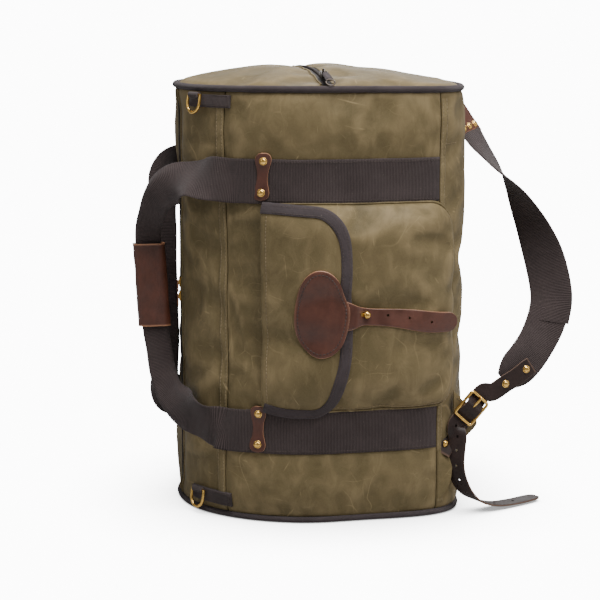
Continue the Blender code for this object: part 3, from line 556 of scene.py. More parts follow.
def skin_grid():
    arcs, marks = [], list(SEAM_ARCS.values())
    for start, end in zip(marks, marks[1:]):
        steps = max(4, round((end - start) / SKIN_STEP))
        arcs += spread(start, end, steps)[:-1]
    arcs.append(marks[-1])
    zs = spread(BOTTOM - 2 * MM, TOP + 2 * MM, round((TOP - BOTTOM) / SKIN_STEP))
    return arcs, zs


def make_skin():
    arcs, zs = skin_grid()
    start = np.array([[form(a, z) for z in zs] for a in arcs])
    pins = np.zeros(start.shape[:2])
    pins[:, 0] = pins[:, -1] = 1
    for arc in SEAM_ARCS.values():
        pins[int(np.argmin(np.abs(np.array(arcs) - arc)))] = 1
    band_start, band_end = arc_at(low("band_front_upper").x), SEAM_ARCS["base_front"]
    for i, arc in enumerate(arcs):
        on_band = band_start < min(arc, ROUND - arc) < band_end
        for j, z in enumerate(zs):
            if on_band and min(abs(z - b) for b in BAND_Z.values()) < WEBBING / 2:
                pins[i, j] = 1
    for i, row in enumerate(start):
        for j, (x, y, z) in enumerate(row):
            if abs(x + 144 * MM) < 26 * MM and y < 0 and min(z - BOTTOM, TOP - z) < 62 * MM:
                pins[i, j] = 1  # the cloth lies flat where a D-ring swings over it
    return Surface(arcs, zs, simulate(start, pins, pressure=2.2, spare=0.02, bending=7))


SKIN = make_skin()


def add_panels():
    """The five canvas panels of the side wall, cut from the skin at its seams."""
    values = relief(SKIN.points, SKIN.normals, SKIN_STEP)
    marks = list(SEAM_ARCS.values())
    names = ("zip_panel_front", "front_panel", "base_panel", "back_panel", "zip_panel_back")
    for name, start, end in zip(names, marks, marks[1:]):
        picked = [i for i, u in enumerate(SKIN.us) if start - 1e-6 < u < end + 1e-6]
        part = slice(picked[0], picked[-1] + 1)
        outer = SKIN.points[part]
        inner = outer - SKIN.normals[part] * WALL
        uvs = [[(u, v) for v in SKIN.vs] for u in SKIN.us[part]]
        cut = {key: v[part] for key, v in values.items()}
        obj = thick_sheet("canvas_" + name, outer, inner, "canvas", uvs, cut, levels=1)
        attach(obj, "shell")
        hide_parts(name)


# ---------------------------------------------------------------- tubes, lofts and small metal


def resample(points, step):
    """Points a fixed distance apart along a line of points."""
    points = [Vector(p) for p in points]
    lengths = [0.0]
    for a, b in zip(points, points[1:]):
        lengths.append(lengths[-1] + (b - a).length)
    count = max(2, round(lengths[-1] / step) + 1)
    out = []
    for want in spread(0, lengths[-1], count - 1):
        i = max(0, min(len(points) - 2, int(np.searchsorted(lengths, want)) - 1))
        share = (want - lengths[i]) / max(1e-9, lengths[i + 1] - lengths[i])
        out.append(points[i].lerp(points[i + 1], share))
    return out


def curve_through(rows, steps=8):
    """Catmull-Rom curve through rows of numbers."""
    rows = [np.array(row, float) for row in rows]
    ends = [2 * rows[0] - rows[1], *rows, 2 * rows[-1] - rows[-2]]
    out = []
    for a, b, c, d in zip(ends, ends[1:], ends[2:], ends[3:]):
        for t in np.arange(steps) / steps:
            out.append(0.5 * (2 * b + (c - a) * t + (2 * a - 5 * b + 4 * c - d) * t**2
                + (3 * b - a - 3 * c + d) * t**3))
    return out + [rows[-1]]


def tube_rings(points, radius, sides, closed=False, flat=1.0, guide=UP):
    """Rings of points round a line; radius may be a list, and flat squashes the ring along the guide."""
    count = len(points)
    radii = radius if isinstance(radius, (list, tuple)) else [radius] * count
    rings, cross = [], None
    for i, point in enumerate(points):
        before = points[i - 1] if closed or i else point
        after = points[(i + 1) % count] if closed or i < count - 1 else point
        along = (after - before).normalized()
        base = guide if cross is None else cross
        cross = base - along * base.dot(along)
        if cross.length < 1e-6:
            cross = along.orthogonal()
        cross.normalize()
        side = along.cross(cross)
        turns = [math.tau * k / sides for k in range(sides)]
        rings.append([point + (cross * math.cos(t) * flat + side * math.sin(t)) * radii[i]
            for t in turns])
    return rings


def tube(name, points, radius, material, sides=8, closed=False, flat=1.0, guide=UP, smooth=60):
    """A round tube along points; its ends are closed with flat caps."""
    points = [Vector(p) for p in points]
    rings = tube_rings(points, radius, sides, closed, flat, guide)
    verts = [v for ring in rings for v in ring]
    count, faces = len(rings), []
    for i in range(count if closed else count - 1):
        for k in range(sides):
            a, b = i * sides, (i + 1) % count * sides
            faces.append((a + k, a + (k + 1) % sides, b + (k + 1) % sides, b + k))
    if not closed:
        faces += [tuple(range(sides))[::-1], tuple(range((count - 1) * sides, count * sides))]
    size = radius if not isinstance(radius, (list, tuple)) else radius[0]
    length, uvs = 0.0, []
    for i, point in enumerate(points):
        length += (point - points[i - 1]).length if i else 0
        uvs += [(length, k / sides * math.tau * size) for k in range(sides)]
    obj = make_object(name, verts, faces, material, uvs, smooth=smooth)
    recalculate(obj)
    return obj


def lathe(name, profile, place, axis, material, steps=28):
    """Spins a profile of (radius, height) round an axis that starts at place."""
    turn = UP.rotation_difference(Vector(axis).normalized()).to_matrix()
    verts, faces = [], []
    for r, h in profile:
        for k in range(steps):
            a = math.tau * k / steps
            verts.append(Vector(place) + turn @ Vector((r * math.cos(a), r * math.sin(a), h)))
    for i in range(len(profile) - 1):
        for k in range(steps):
            a, b = i * steps, (i + 1) * steps
            faces.append((a + k, a + (k + 1) % steps, b + (k + 1) % steps, b + k))
    faces += [tuple(range(steps))[::-1],
        tuple(range((len(profile) - 1) * steps, len(profile) * steps))]
    obj = make_object(name, verts, faces, material, smooth=50)
    recalculate(obj)
    return obj


def domed(radius, height, rim=0.18):
    """Profile of a domed rivet head with a thin rolled rim."""
    low_rim = height * rim
    profile = [(radius * 0.94, 0), (radius, low_rim * 0.5), (radius * 0.97, low_rim),
        (radius * 0.84, low_rim * 1.3)]
    for k in range(1, 8):
        a = math.pi / 2 * k / 8
        profile.append((radius * 0.84 * math.cos(a),
            low_rim * 1.3 + (height - low_rim * 1.3) * math.sin(a)))
    return profile + [(radius * 0.05, height)]


def block(name, size, place, turn, material, bevel=0.6 * MM):
    """A box with rounded edges."""
    bm = bmesh.new()
    bmesh.ops.create_cube(bm, size=1)
    bmesh.ops.scale(bm, verts=bm.verts, vec=size)
    bmesh.ops.bevel(bm, geom=bm.edges, offset=bevel, segments=3, affect="EDGES")
    bmesh.ops.transform(bm, matrix=Matrix.Translation(Vector(place)) @ turn.to_4x4(),
        verts=bm.verts)
    mesh = bpy.data.meshes.new(name)
    bm.to_mesh(mesh)
    bm.free()
    mesh.materials.append(MATERIALS[material])
    mesh.shade_smooth()
    mesh.set_sharp_from_angle(angle=math.radians(35))
    obj = bpy.data.objects.new(name, mesh)
    bpy.context.scene.collection.objects.link(obj)
    return obj


def join(name, parts, body, *nodes):
    """Makes one object of several, which rides on a body and stands for CAD nodes."""
    with bpy.context.temp_override(active_object=parts[0], selected_editable_objects=parts):
        bpy.ops.object.join()
    return settle(parts[0], body, *nodes, name=name)


def settle(obj, body, *nodes, name=None):
    if name:
        obj.name = obj.data.name = name
    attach(obj, body)
    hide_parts(*nodes)
    return obj


def turn_of(along, out):
    """Rotation whose X runs along and Z runs out."""
    along, out = along.normalized(), out.normalized()
    across = out.cross(along).normalized()
    return Matrix((along, across, along.cross(across))).transposed()


class Thread:
    """Collects stitches for one body and makes one object of them."""

    def __init__(self, name, body, material="thread", pitch=THREAD_PITCH):
        self.name, self.body, self.material, self.pitch = name, body, material, pitch
        self.verts, self.faces = [], []

    def run(self, path, pitch=None, radius=THREAD_RADIUS):
        """Stitches along a path of (point, normal); each dips into the cloth at both ends."""
        pitch = pitch or self.pitch
        points = [Vector(p) for p, _ in path]
        normals = [Vector(n) for _, n in path]
        spots = resample(points, pitch)
        tree = np.array(points)
        for a, b in zip(spots, spots[1:]):
            mid = (a + b) / 2
            normal = normals[int(np.argmin(((tree - np.array(mid)) ** 2).sum(axis=1)))]
            self.stitch(a.lerp(b, 0.1), a.lerp(b, 0.9), normal, radius)

    def stitch(self, a, b, normal, radius):
        along = (b - a).normalized()
        side = along.cross(normal).normalized()
        start = len(self.verts)
        for share, lift, width in ((0, -0.5, 0.5), (0.2, 0.45, 1), (0.8, 0.45, 1), (1, -0.5, 0.5)):
            centre = a.lerp(b, share) + normal * lift * radius
            for k in range(5):
                t = math.tau * k / 5
                self.verts.append(centre
                    + (side * math.cos(t) * 1.15 + normal * math.sin(t) * 0.8) * radius * width)
        for i in range(3):
            for k in range(5):
                p, q = start + i * 5, start + (i + 1) * 5
                self.faces.append((p + k, p + (k + 1) % 5, q + (k + 1) % 5, q + k))
        self.faces.append(tuple(start + k for k in range(4, -1, -1)))
        self.faces.append(tuple(start + 15 + k for k in range(5)))

    def make(self):
        obj = make_object(self.name, self.verts, self.faces, self.material, smooth=80)
        recalculate(obj)
        return settle(obj, self.body)


THREADS = {
    "shell": Thread("stitches_shell", "shell"),
    "dark": Thread("stitches_dark_shell", "shell", "dark_thread"),
    "flap": Thread("stitches_flap", "flap", "dark_thread"),
    "flap_tan": Thread("stitches_flap_canvas", "flap"),
}


def skin_line(points, off=0.0, surface=None):
    """A path of (point, normal) over the skin through (arc, z) points."""
    surface = surface or SKIN
    path = []
    for (a0, z0), (a1, z1) in zip(points, points[1:]):
        steps = max(2, round(math.hypot(a1 - a0, z1 - z0) / (3 * MM)))
        for t in spread(0, 1, steps)[:-1]:
            a, z = a0 + (a1 - a0) * t, z0 + (z1 - z0) * t
            path.append((surface.at(a, z, off), surface.axes(a, z)[2]))
    a, z = points[-1]
    path.append((surface.at(a, z, off), surface.axes(a, z)[2]))
    return path


# ---------------------------------------------------------------- sheets that lie on the skin


def rounded(count, lip=0.06):
    """Shares across a strip, closer together near both edges, with how high each stands from 0 to 1."""
    edge = [0, lip * 0.3, lip]
    inner = spread(lip, 1 - lip, count)[1:-1]
    shares = edge + inner + [1 - s for s in reversed(edge)]
    heights = [math.sqrt(1 - (1 - min(1, min(s, 1 - s) / lip)) ** 2) if lip else 1 for s in shares]
    return shares, heights


def laid_strip(name, surface, us, v_low, v_high, off, thick, material, crown=0.0, rib=6, lip=0.05):
    """A strip over a surface from v_low(u) to v_high(u), with rounded edges; off is its underside."""
    shares, heights = rounded(rib, lip)
    outer, inner, uvs = [], [], []
    for u in us:
        a, b = v_low(u) if callable(v_low) else v_low, v_high(u) if callable(v_high) else v_high
        top_row, low_row, uv_row = [], [], []
        for share, height in zip(shares, heights):
            v = a + (b - a) * share
            base = off(u, v) if callable(off) else off
            lift = crown * (1 - (2 * share - 1) ** 2)
            top_row.append(surface.at(u, v, base + thick * (0.45 + 0.55 * height) + lift))
            low_row.append(surface.at(u, v, base))
            uv_row.append((u, v))
        outer.append(top_row)
        inner.append(low_row)
        uvs.append(uv_row)
    return thick_sheet(name, outer, inner, material, uvs, smooth=50)


FLAT_SKIN = Surface(SKIN.us, SKIN.vs, blur(SKIN.points, 8))


def add_seams():
    """Felled seams down both sides of the zip panels and at the base corners, each with two rows of stitches."""
    height = (SKIN.vs[2], SKIN.vs[-3])
    for side in (-1, 1):
        for x, width in ((FRONT_SEAM_X, -10.5 * MM), (BASE_SEAM_X, 9 * MM)):
            seam = arc_at(x, side)
            inner = seam + width * (1 if side < 0 else -1)
            low_arc, high_arc = min(seam, inner), max(seam, inner)
            flat = Surface(SKIN.vs, SKIN.us, SKIN.points.transpose(1, 0, 2))
            flat.normals = -flat.normals if Vector(flat.normals[0][0]).dot(Vector(SKIN.normals[0][0])) < 0 else flat.normals
            off = 0.1 * MM
            name = f"seam_{'front' if side < 0 else 'back'}_{'zip' if x < 0 else 'base'}"
            zs = spread(*height, 120)
            strip = laid_strip(name, flat, zs, low_arc, high_arc, off, 1.3 * MM, "seam_canvas",
                rib=4, lip=0.12)
            settle(strip, "shell")
            for arc in (low_arc + 1.8 * MM, high_arc - 1.8 * MM):
                THREADS["shell"].run(skin_line([(arc, height[0]), (arc, height[1])],
                    off + 1.35 * MM))
    for z in (0.4405, 0.083):
        start, end = SEAM_ARCS["base_front"] + 9 * MM, SEAM_ARCS["base_front"] + 30 * MM
        THREADS["shell"].run(skin_line([(start, z), (end, z)], 0.2 * MM))


def add_bands():
    """Two webbing bands on each side, edge-stitched, from the handles to the base seam."""
    for side, where in ((-1, "front"), (1, "back")):
        ends = sorted(arc_at(x, side)
            for x in (low("band_front_upper").x - 6 * MM, BASE_SEAM_X - 1.5 * MM))
        for level, z in BAND_Z.items():
            half = WEBBING / 2
            us = spread(*ends, 60)
            name = f"band_{where}_{level}"
            strip = laid_strip("webbing_" + name, FLAT_SKIN, us, z - half, z + half, 0.4 * MM,
                WEBBING_THICK, "webbing")
            settle(strip, "shell", name)
            for shift in (half - 3.2 * MM, 3.2 * MM - half):
                path = skin_line([(ends[0], z + shift), (ends[1], z + shift)],
                    WEBBING_THICK + 0.45 * MM, FLAT_SKIN)
                THREADS["dark"].run(path, 3.4 * MM, 0.32 * MM)


def add_piping():
    """The cord in a folded tape round each end of the bag."""
    for level, z in PIPING_Z.items():
        points = []
        steps = 260
        for k in range(steps):
            arc = ROUND * k / steps
            edge = SKIN.at(arc, TOP if level == "top" else BOTTOM)
            point, normal = outline(float(np.interp(arc, LENGTHS, ANGLES)))
            centre = point - normal * 1.2 * MM
            sway = noise.noise(Vector((point.x * 14, point.y * 14, z * 3))) * 1.1 * MM
            lift = noise.noise(Vector((point.x * 9, point.y * 9, z + 5))) * (1.6 if level == "top"
                else 0.0) * MM
            follow = 0.35 * (Vector((edge.x, edge.y, 0)) - Vector((centre.x, centre.y, 0)))
            points.append(centre + normal * sway + follow + UP * (z + lift))
        radii = [PIPING_RADIUS * (1 + 0.09 * noise.noise(p * 90)) for p in points]
        if level == "bottom":
            radii = [min(r, p.z) for r, p in zip(radii, points)]
        cord = tube("cord_piping_" + level, points, radii, "binding", 12, closed=True)
        settle(cord, "shell", "piping_" + level)


# ---------------------------------------------------------------- domed end and its zip


def disc_point(s, t, inset):
    x, y = s * math.sqrt(1 - t * t / 2), t * math.sqrt(1 - s * s / 2)
    share = min(1.0, math.hypot(x, y))
    point, normal = outline(math.atan2(y, x))
    edge = point - normal * inset
    return edge.x * share, edge.y * share, share


DOME_RISE = high("end_panel_top").z - low("end_panel_top").z - 2 * MM
END_ZIP_X = middle("end_zip_slider").x
TAPE_HALF = 6.5 * MM


def dome_surface():
    """The domed end: slack canvas that is drawn down along its zip and creased towards its rim."""
    base = low("end_panel_top").z + 2.0 * MM
    steps = spread(-1, 1, 56)
    start = np.zeros((57, 57, 3))
    pins = np.zeros((57, 57))
    for i, s in enumerate(steps):
        for j, t in enumerate(steps):
            x, y, share = disc_point(s, t, 3.5 * MM)
            rise = DOME_RISE * (0.8 - 0.3 * smoothstep(-20 * MM, 150 * MM, x)) * (1 - share**2.2)
            near_zip = bump(x, END_ZIP_X, 11 * MM)
            angle = math.atan2(y, x)
            crease = 1.6 * MM * math.sin(angle * 11
                + 3 * noise.noise(Vector((x * 9, y * 9, 2)))) * share * (1 - share)
            swell = noise.noise(Vector((x * 16, y * 16, 4))) * 2.6 * MM * (1 - share**3)
            start[i, j] = (x, y, base + rise + (swell + crease * 2) * (1 - near_zip)
                - 1.2 * MM * near_zip)
            if share > 0.985 or (abs(x - END_ZIP_X) < 5 * MM and abs(y) < 0.12):
                pins[i, j] = 1
    return Surface(steps, steps, simulate(start, pins, pressure=1.4, spare=0.03, cap=5 * MM))


DOME = dome_surface()


def dome_at(x, y, off=0.0):
    """The point of the domed end over this x and y."""
    s, t = x / HALF_WIDTH, y / HALF_DEPTH
    for _ in range(12):
        px, py, _ = disc_point(s, t, 3.5 * MM)
        s, t = max(-1, min(1, s + (x - px) / HALF_WIDTH)), max(-1,
            min(1, t + (y - py) / HALF_DEPTH))
    return DOME.at(s, t, off)


def add_end_panels():
    values = relief(DOME.points, DOME.normals, SKIN_STEP)
    uvs = DOME.points[:, :, :2]
    inner = DOME.points - DOME.normals * WALL
    top = thick_sheet("canvas_end_top", DOME.points, inner, "canvas", uvs, values, levels=1)
    settle(top, "shell", "end_panel_top")
    steps = spread(-1, 1, 24)
    base = 0.5 * MM
    flat = [[disc_point(s, t, 4 * MM)[:2] for t in steps] for s in steps]
    outer = [[(x, y, base + 0.5 * MM * (1 + noise.noise(Vector((x * 20, y * 20, 0))))) for x,
        y in row] for row in flat]
    lifted = [[(x, y, z + WALL) for x, y, z in row] for row in outer]
    bottom = thick_sheet("canvas_end_bottom", lifted, outer, "canvas", flat,
        {"ridge": np.zeros((25, 25)), "hollow": np.zeros((25, 25))})
    settle(bottom, "shell", "end_panel_bottom")


def helix(path, normals, radius, pitch, per_turn=7):
    """Points of a coil round a path."""
    length = sum((b - a).length for a, b in zip(path, path[1:]))
    count = int(length / pitch * per_turn)
    points = []
    for k in range(count):
        share = k / count * (len(path) - 1)
        i = int(share)
        at = path[i].lerp(path[i + 1], share - i)
        along = (path[i + 1] - path[i]).normalized()
        normal = normals[i]
        side = along.cross(normal)
        t = math.tau * k / per_turn
        points.append(at + side * math.cos(t) * radius + normal * math.sin(t) * radius * 0.75)
    return points


def add_end_zip():
    y_from, y_to = low("end_zip_tape").y, high("end_zip_tape").y
    ys = spread(y_from + 1 * MM, y_to - 1 * MM, 70)
    outer, inner, uvs = [], [], []
    for y in ys:
        xs = spread(-TAPE_HALF, TAPE_HALF, 6)
        outer.append([dome_at(END_ZIP_X + d, y, 1.5 * MM) for d in xs])
        inner.append([dome_at(END_ZIP_X + d, y, 0.4 * MM) for d in xs])
        uvs.append([(y, d) for d in xs])
    tape = thick_sheet("end_zip_cloth", outer, inner, "zip", uvs)
    path = [dome_at(END_ZIP_X, y, 2.2 * MM) for y in ys]
    normals = [(dome_at(END_ZIP_X, y, 4 * MM) - dome_at(END_ZIP_X, y, 0)).normalized() for y in ys]
    coil = tube("end_zip_coil", helix(path, normals, 1.9 * MM, 1.6 * MM), 0.42 * MM, "coil", 4)
    join("end_zip_chain", [tape, coil], "shell", "end_zip_tape")
    for d in (-1, 1):
        line = [(dome_at(END_ZIP_X + d * (TAPE_HALF + 2.2 * MM), y, 0.3 * MM), UP) for y in ys]
        THREADS["shell"].run(line)
        welt = [dome_at(END_ZIP_X + d * (TAPE_HALF + 0.4 * MM), y, 0.9 * MM) for y in ys]
        settle(tube(f"end_zip_fold_{'left' if d < 0 else 'right'}", welt, 1.1 * MM, "seam_canvas",
            6), "shell")
    slider = middle("end_zip_slider")
    away = Vector((0, -1, -0.27)).normalized()
    out = Vector((0, -0.27, 1)).normalized()
    turn = turn_of(away, out)
    parts = [block("s1", (14 * MM, 9 * MM, 2.4 * MM), slider + out * 1.2 * MM, turn, "steel",
        0.9 * MM)]
    parts.append(block("s2", (13 * MM, 8 * MM, 1.6 * MM), slider - out * 1.6 * MM, turn, "steel",
        0.6 * MM))
    arch = [slider + away * d + out * h for d,
        h in ((-5 * MM, 2 * MM), (-4 * MM, 4.6 * MM), (0, 5.6 * MM), (4 * MM, 4.6 * MM),
        (5 * MM, 2 * MM))]
    parts.append(tube("s3", resample([Vector(p) for p in curve_through(arch, 5)], 1 * MM), 1.1 * MM,
        "steel", 6))
    join("end_slider_body", parts, "end_slider", "end_zip_slider")
    add_end_pull(away, out)


def ring_points(centre, along, across, radius, count=28, long=1.0):
    return [
        centre + along * math.cos(math.tau * k / count) * radius * long
        + across * math.sin(math.tau * k / count) * radius
        for k in range(count)
    ]


def add_end_pull(away, out):
    """A folded webbing tab on the slider, with a small ring hanging from its end."""
    end = Vector(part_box("end_zip_pull")[1])
    root = Vector((END_ZIP_X, end.y - 1.5 * MM, end.z - 2 * MM))
    length = 26 * MM
    side = Vector((1, 0, 0))
    rows = []
    for d, w, t in ((0, 6, 2.2), (4, 8.6, 3.4), (9, 9, 3.6), (17, 9, 3.4), (22, 9.4, 3.8),
        (26, 9, 4.2)):
        rows.append((d * MM, w * MM, t * MM))
    outer, inner = [], []
    for d, w, t in rows:
        centre = root + away * d
        xs = spread(-0.5, 0.5, 8)
        outer.append([centre + side * w * s + out * t / 2 * (1 - (2 * s) ** 6) for s in xs])
        inner.append([centre + side * w * s - out * t / 2 * (1 - (2 * s) ** 6) for s in xs])
    uvs = [[(d, s * 9 * MM) for s in spread(-0.5, 0.5, 8)] for d, _, _ in rows]
    tab = thick_sheet("p1", outer, inner, "binding", uvs, levels=1)
    hang = (away + Vector((0, 0, -0.55))).normalized()
    ring = tube("p2", ring_points(root + away * length + hang * 4.2 * MM, hang, side, 5.0 * MM),
        0.8 * MM, "steel", 8, closed=True, guide=out)
    link = tube("p3", ring_points(root - away * 2.0 * MM, away, side, 3.0 * MM), 0.75 * MM, "steel",
        8, closed=True, guide=out)
    bpy.context.view_layer.update()
    bpy.context.view_layer.objects.active = tab
    with bpy.context.temp_override(object=tab, active_object=tab):
        bpy.ops.object.modifier_apply(modifier="smooth")
    join("end_pull_tab", [tab, ring, link], "end_pull", "end_zip_pull")


# ---------------------------------------------------------------- main zip


CHAIN_X = SKIN.at(SKIN.us[0],
    0.26).x - 0.5 * MM  # the closed chain runs straight, at the bag's waist


def zip_line(z):
    """Middle of the closed chain at this height, and the two folded canvas edges beside it."""
    return Vector((CHAIN_X, 0, z)), SKIN.at(SKIN.us[0], z), SKIN.at(SKIN.us[-1], z)


def add_main_zip():
    zs = spread(BOTTOM + 1 * MM, TOP - 1 * MM, 150)
    for where, index in (("front", 1), ("back", 2)):
        outer, inner, uvs = [], [], []
        for z in zs:
            line = zip_line(z)
            centre, edge = line[0], line[index]
            hidden = edge + (edge - centre) * 0.7 + Vector((2.2 * MM, 0, 0))
            shares = spread(0, 1, 5)
            near = centre + (edge - centre) * 0.12
            outer.append([near.lerp(hidden, s) + Vector((0.5 * MM, 0, 0)) for s in shares])
            inner.append([near.lerp(hidden, s) + Vector((1.5 * MM, 0, 0)) for s in shares])
            uvs.append([(z, s * 12 * MM) for s in shares])
        tape = thick_sheet(f"t_{where}", outer, inner, "zip", uvs)
        line = [zip_line(z)[0] + Vector((0, (-1.1 if index == 1 else 1.1) * MM, 0)) for z in zs]
        normals = [Vector((-1, 0, 0))] * len(zs)
        coil = tube(f"c_{where}", helix(line, normals, 1.5 * MM, 1.9 * MM, 6), 0.45 * MM, "coil", 4)
        join("zip_chain_" + where, [tape, coil], "shell", "zip_teeth_" + where)
        hem = [zip_line(z)[index] + Vector((-0.1 * MM, 0, 0)) for z in zs]
        settle(tube("zip_hem_" + where, hem, 1.5 * MM, "seam_canvas", 8), "shell")
        arc = SKIN.us[0] + 5 * MM if index == 1 else SKIN.us[-1] - 5 * MM
        THREADS["shell"].run(skin_line([(arc, zs[0]), (arc, zs[-1])], 0.15 * MM))
    for name in ("upper", "lower"):
        place = middle("main_slider_" + name)
        place.x = CHAIN_X
        turn = turn_of(UP, Vector((-1, 0, 0)))
        out = Vector((-1, 0, 0))
        parts = [block("a", (13 * MM, 9 * MM, 2.0 * MM), place + out * 1.4 * MM, turn, "brass",
            0.8 * MM)]
        parts.append(block("b", (12.5 * MM, 8.4 * MM, 1.4 * MM), place - out * 1.6 * MM, turn,
            "brass", 0.5 * MM))
        arch = [place + UP * d + out * h for d,
            h in ((-4 * MM, 2 * MM), (0, 3.2 * MM), (4 * MM, 2 * MM))]
        parts.append(tube("c", [Vector(p) for p in curve_through(arch, 6)], 0.8 * MM, "brass", 6))
        join("zip_slider_" + name, parts, name + "_slider", "main_slider_" + name)
        top, bottom = high("main_pull_" + name), low("main_pull_" + name)
        face = CHAIN_X - 4.6 * MM
        rows = [(top.z, 2.4), (top.z - 2 * MM, 4.2), (top.z - 6 * MM, 4.2),
            (bottom.z + 2 * MM, 4.4), (bottom.z, 2.8)]
        rows = curve_through(rows, 4)

        def place_pull(i, s, off, rows=rows, face=face):
            return Vector((face - off, s * rows[i][1] * MM, rows[i][0]))

        pull = leather_piece("zip_pull_" + name, len(rows), place_pull, 1.9 * MM, "leather")
        settle(pull, name + "_pull", "main_pull_" + name)


def leather_piece(name, count, place, thick, material, across=None, start=-0.5):
    """Leather cut to a shape: place(row, share from -1 to 1, offset), with a rounded, paler cut edge."""
    across = across or [-1, -0.96, -0.86, -0.6, -0.3, 0, 0.3, 0.6, 0.86, 0.96, 1]
    outer, inner, edge, uvs = [], [], [], []
    for i in range(count):
        end = min(i, count - 1 - i)
        row = {"outer": [], "inner": [], "edge": [], "uv": []}
        for s in across:
            at_edge = 1.0 if end == 0 or abs(s) == 1 else 0.45 if end == 1 or abs(s) > 0.9 else 0.0
            drop = 0.32 if at_edge == 1 else 0.07 if at_edge else 0.0
            row["outer"].append(place(i, s, (0.5 - drop) * thick))
            row["inner"].append(place(i, s, start * thick + drop * thick * 0.5))
            row["edge"].append(at_edge)
            row["uv"].append((row["outer"][-1].x + row["outer"][-1].y, row["outer"][-1].z))
        outer.append(row["outer"])
        inner.append(row["inner"])
        edge.append(row["edge"])
        uvs.append(row["uv"])
    return thick_sheet(name, outer, inner, material, uvs, {"edge": np.array(edge)}, smooth=60)


# ---------------------------------------------------------------- webbing handles


def webbing_section(width, thick, fold, count=26):
    """Cross-section of webbing whose two edges curl over by fold, from 0, flat, to 1, folded back."""
    half, flat, zone = width / 2, 0.22 * width, 0.2 * width
    line, angle_line = [Vector((0, 0))], [0.0]
    step = half / count
    for k in range(1, count + 1):
        t = k * step
        turn = fold * math.pi * smoothstep(flat, flat + zone, t)
        line.append(line[-1] + Vector((math.cos(turn), math.sin(turn))) * step)
        angle_line.append(turn)
    right = [(p, Vector((-math.sin(a), math.cos(a)))) for p, a in zip(line, angle_line)]
    left = [(Vector((-p.x, p.y)), Vector((-n.x, n.y))) for p, n in right[1:]]
    full = left[::-1] + right
    inner, outer = [], []
    for k, (p, n) in enumerate(full):
        end = min(k, len(full) - 1 - k)
        slim = (0.45, 0.85)[end] if end < 2 else 1.0
        inner.append(p + n * thick / 2 * slim)
        outer.append(p - n * thick / 2 * slim)
    return outer, inner


def webbing_strap(name, rows, width, thick, material, steps=8):
    """Webbing along rows of x, y, z, across x, y, z and fold; the folded edges turn to along x across."""
    stations = curve_through(rows, steps)
    outer_grid, inner_grid, uvs, run = [], [], [], 0.0
    for i, row in enumerate(stations):
        centre, across = Vector(row[:3]), Vector(row[3:6])
        before = Vector(stations[max(i - 1, 0)][:3])
        after = Vector(stations[min(i + 1, len(stations) - 1)][:3])
        along = (after - before).normalized()
        across = (across - along * across.dot(along)).normalized()
        out = along.cross(across)
        outer, inner = webbing_section(width, thick, max(0.0, min(1.0, row[6])))
        centre_shift = -max(p.y for p in inner) * 0.5 + thick / 4
        run += (centre - Vector(stations[max(i - 1, 0)][:3])).length
        outer_grid.append([centre + across * p.x + out * (p.y + centre_shift) for p in outer])
        inner_grid.append([centre + across * p.x + out * (p.y + centre_shift) for p in inner])
        uvs.append([(run, (k / len(outer) - 0.5) * width) for k in range(len(outer))])
    return thick_sheet(name, outer_grid, inner_grid, material, uvs, smooth=60)


def mm_rows(rows):
    return [tuple(v * MM for v in row[:3]) + tuple(row[3:]) for row in rows]


HANDLE_ROUTES = {
    "front": [
        (-134, -105.5, 403, 0, 0.12, 1, 0),
        (-147, -97, 403, -0.05, 0.55, 0.8, 0),
        (-162, -84, 402, -0.1, 0.85, 0.48, 0.02),
        (-179, -67, 394, -0.45, 0.72, 0.48, 0.15),
        (-192, -48, 377, -0.8, 0.3, 0.5, 0.42),
        (-198, -30, 356, -1, 0.1, 0.25, 0.75),
        (-201, -17, 338, -1, 0, 0.1, 0.95),
        (-201, -12, 316, -1, 0, 0, 1),
        (-198, -12, 268, -1, 0, 0, 1),
        (-194, -12, 217, -1, 0, 0, 1),
        (-190, -14, 190, -1, 0, -0.05, 0.97),
        (-187, -22, 164, -1, 0.1, -0.25, 0.85),
        (-180, -39, 140, -0.85, 0.4, -0.5, 0.5),
        (-167, -62, 124, -0.5, 0.7, -0.6, 0.15),
        (-153, -84, 116, -0.15, 0.7, -0.75, 0.02),
        (-143, -97, 112, -0.05, 0.4, -0.9, 0),
        (-134, -103.5, 111, 0, 0.1, -1, 0),
    ],
    "back": [
        (-132, 105, 401, 0, 0, 1, 0),
        (-152, 85, 401, -0.1, 0, 1, 0),
        (-165, 68, 395, -0.4, 0, 0.9, 0.12),
        (-173, 50, 380, -0.8, 0, 0.6, 0.4),
        (-177, 34, 356, -1, -0.1, 0.3, 0.75),
        (-178, 19, 328, -1, 0, 0.1, 0.95),
        (-179, 13, 290, -1, 0, 0, 1),
        (-178, 13, 240, -1, 0, 0, 1),
        (-177, 14, 195, -1, 0, -0.05, 0.97),
        (-178, 20, 165, -1, 0, -0.25, 0.85),
        (-177, 34, 140, -0.9, 0, -0.5, 0.5),
        (-167, 58, 118, -0.6, 0, -0.9, 0.15),
        (-150, 82, 108, -0.3, 0, -1, 0),
        (-130, 106, 108, 0, 0, -1, 0),
    ],
}
CHAPES = {"upper": (-82.5 * MM, 406.5 * MM, 0.075), "lower": (-88 * MM, 111.5 * MM, 0.015)}
CHAPE_HALF, RIVET_APART = 28 * MM, 18.5 * MM


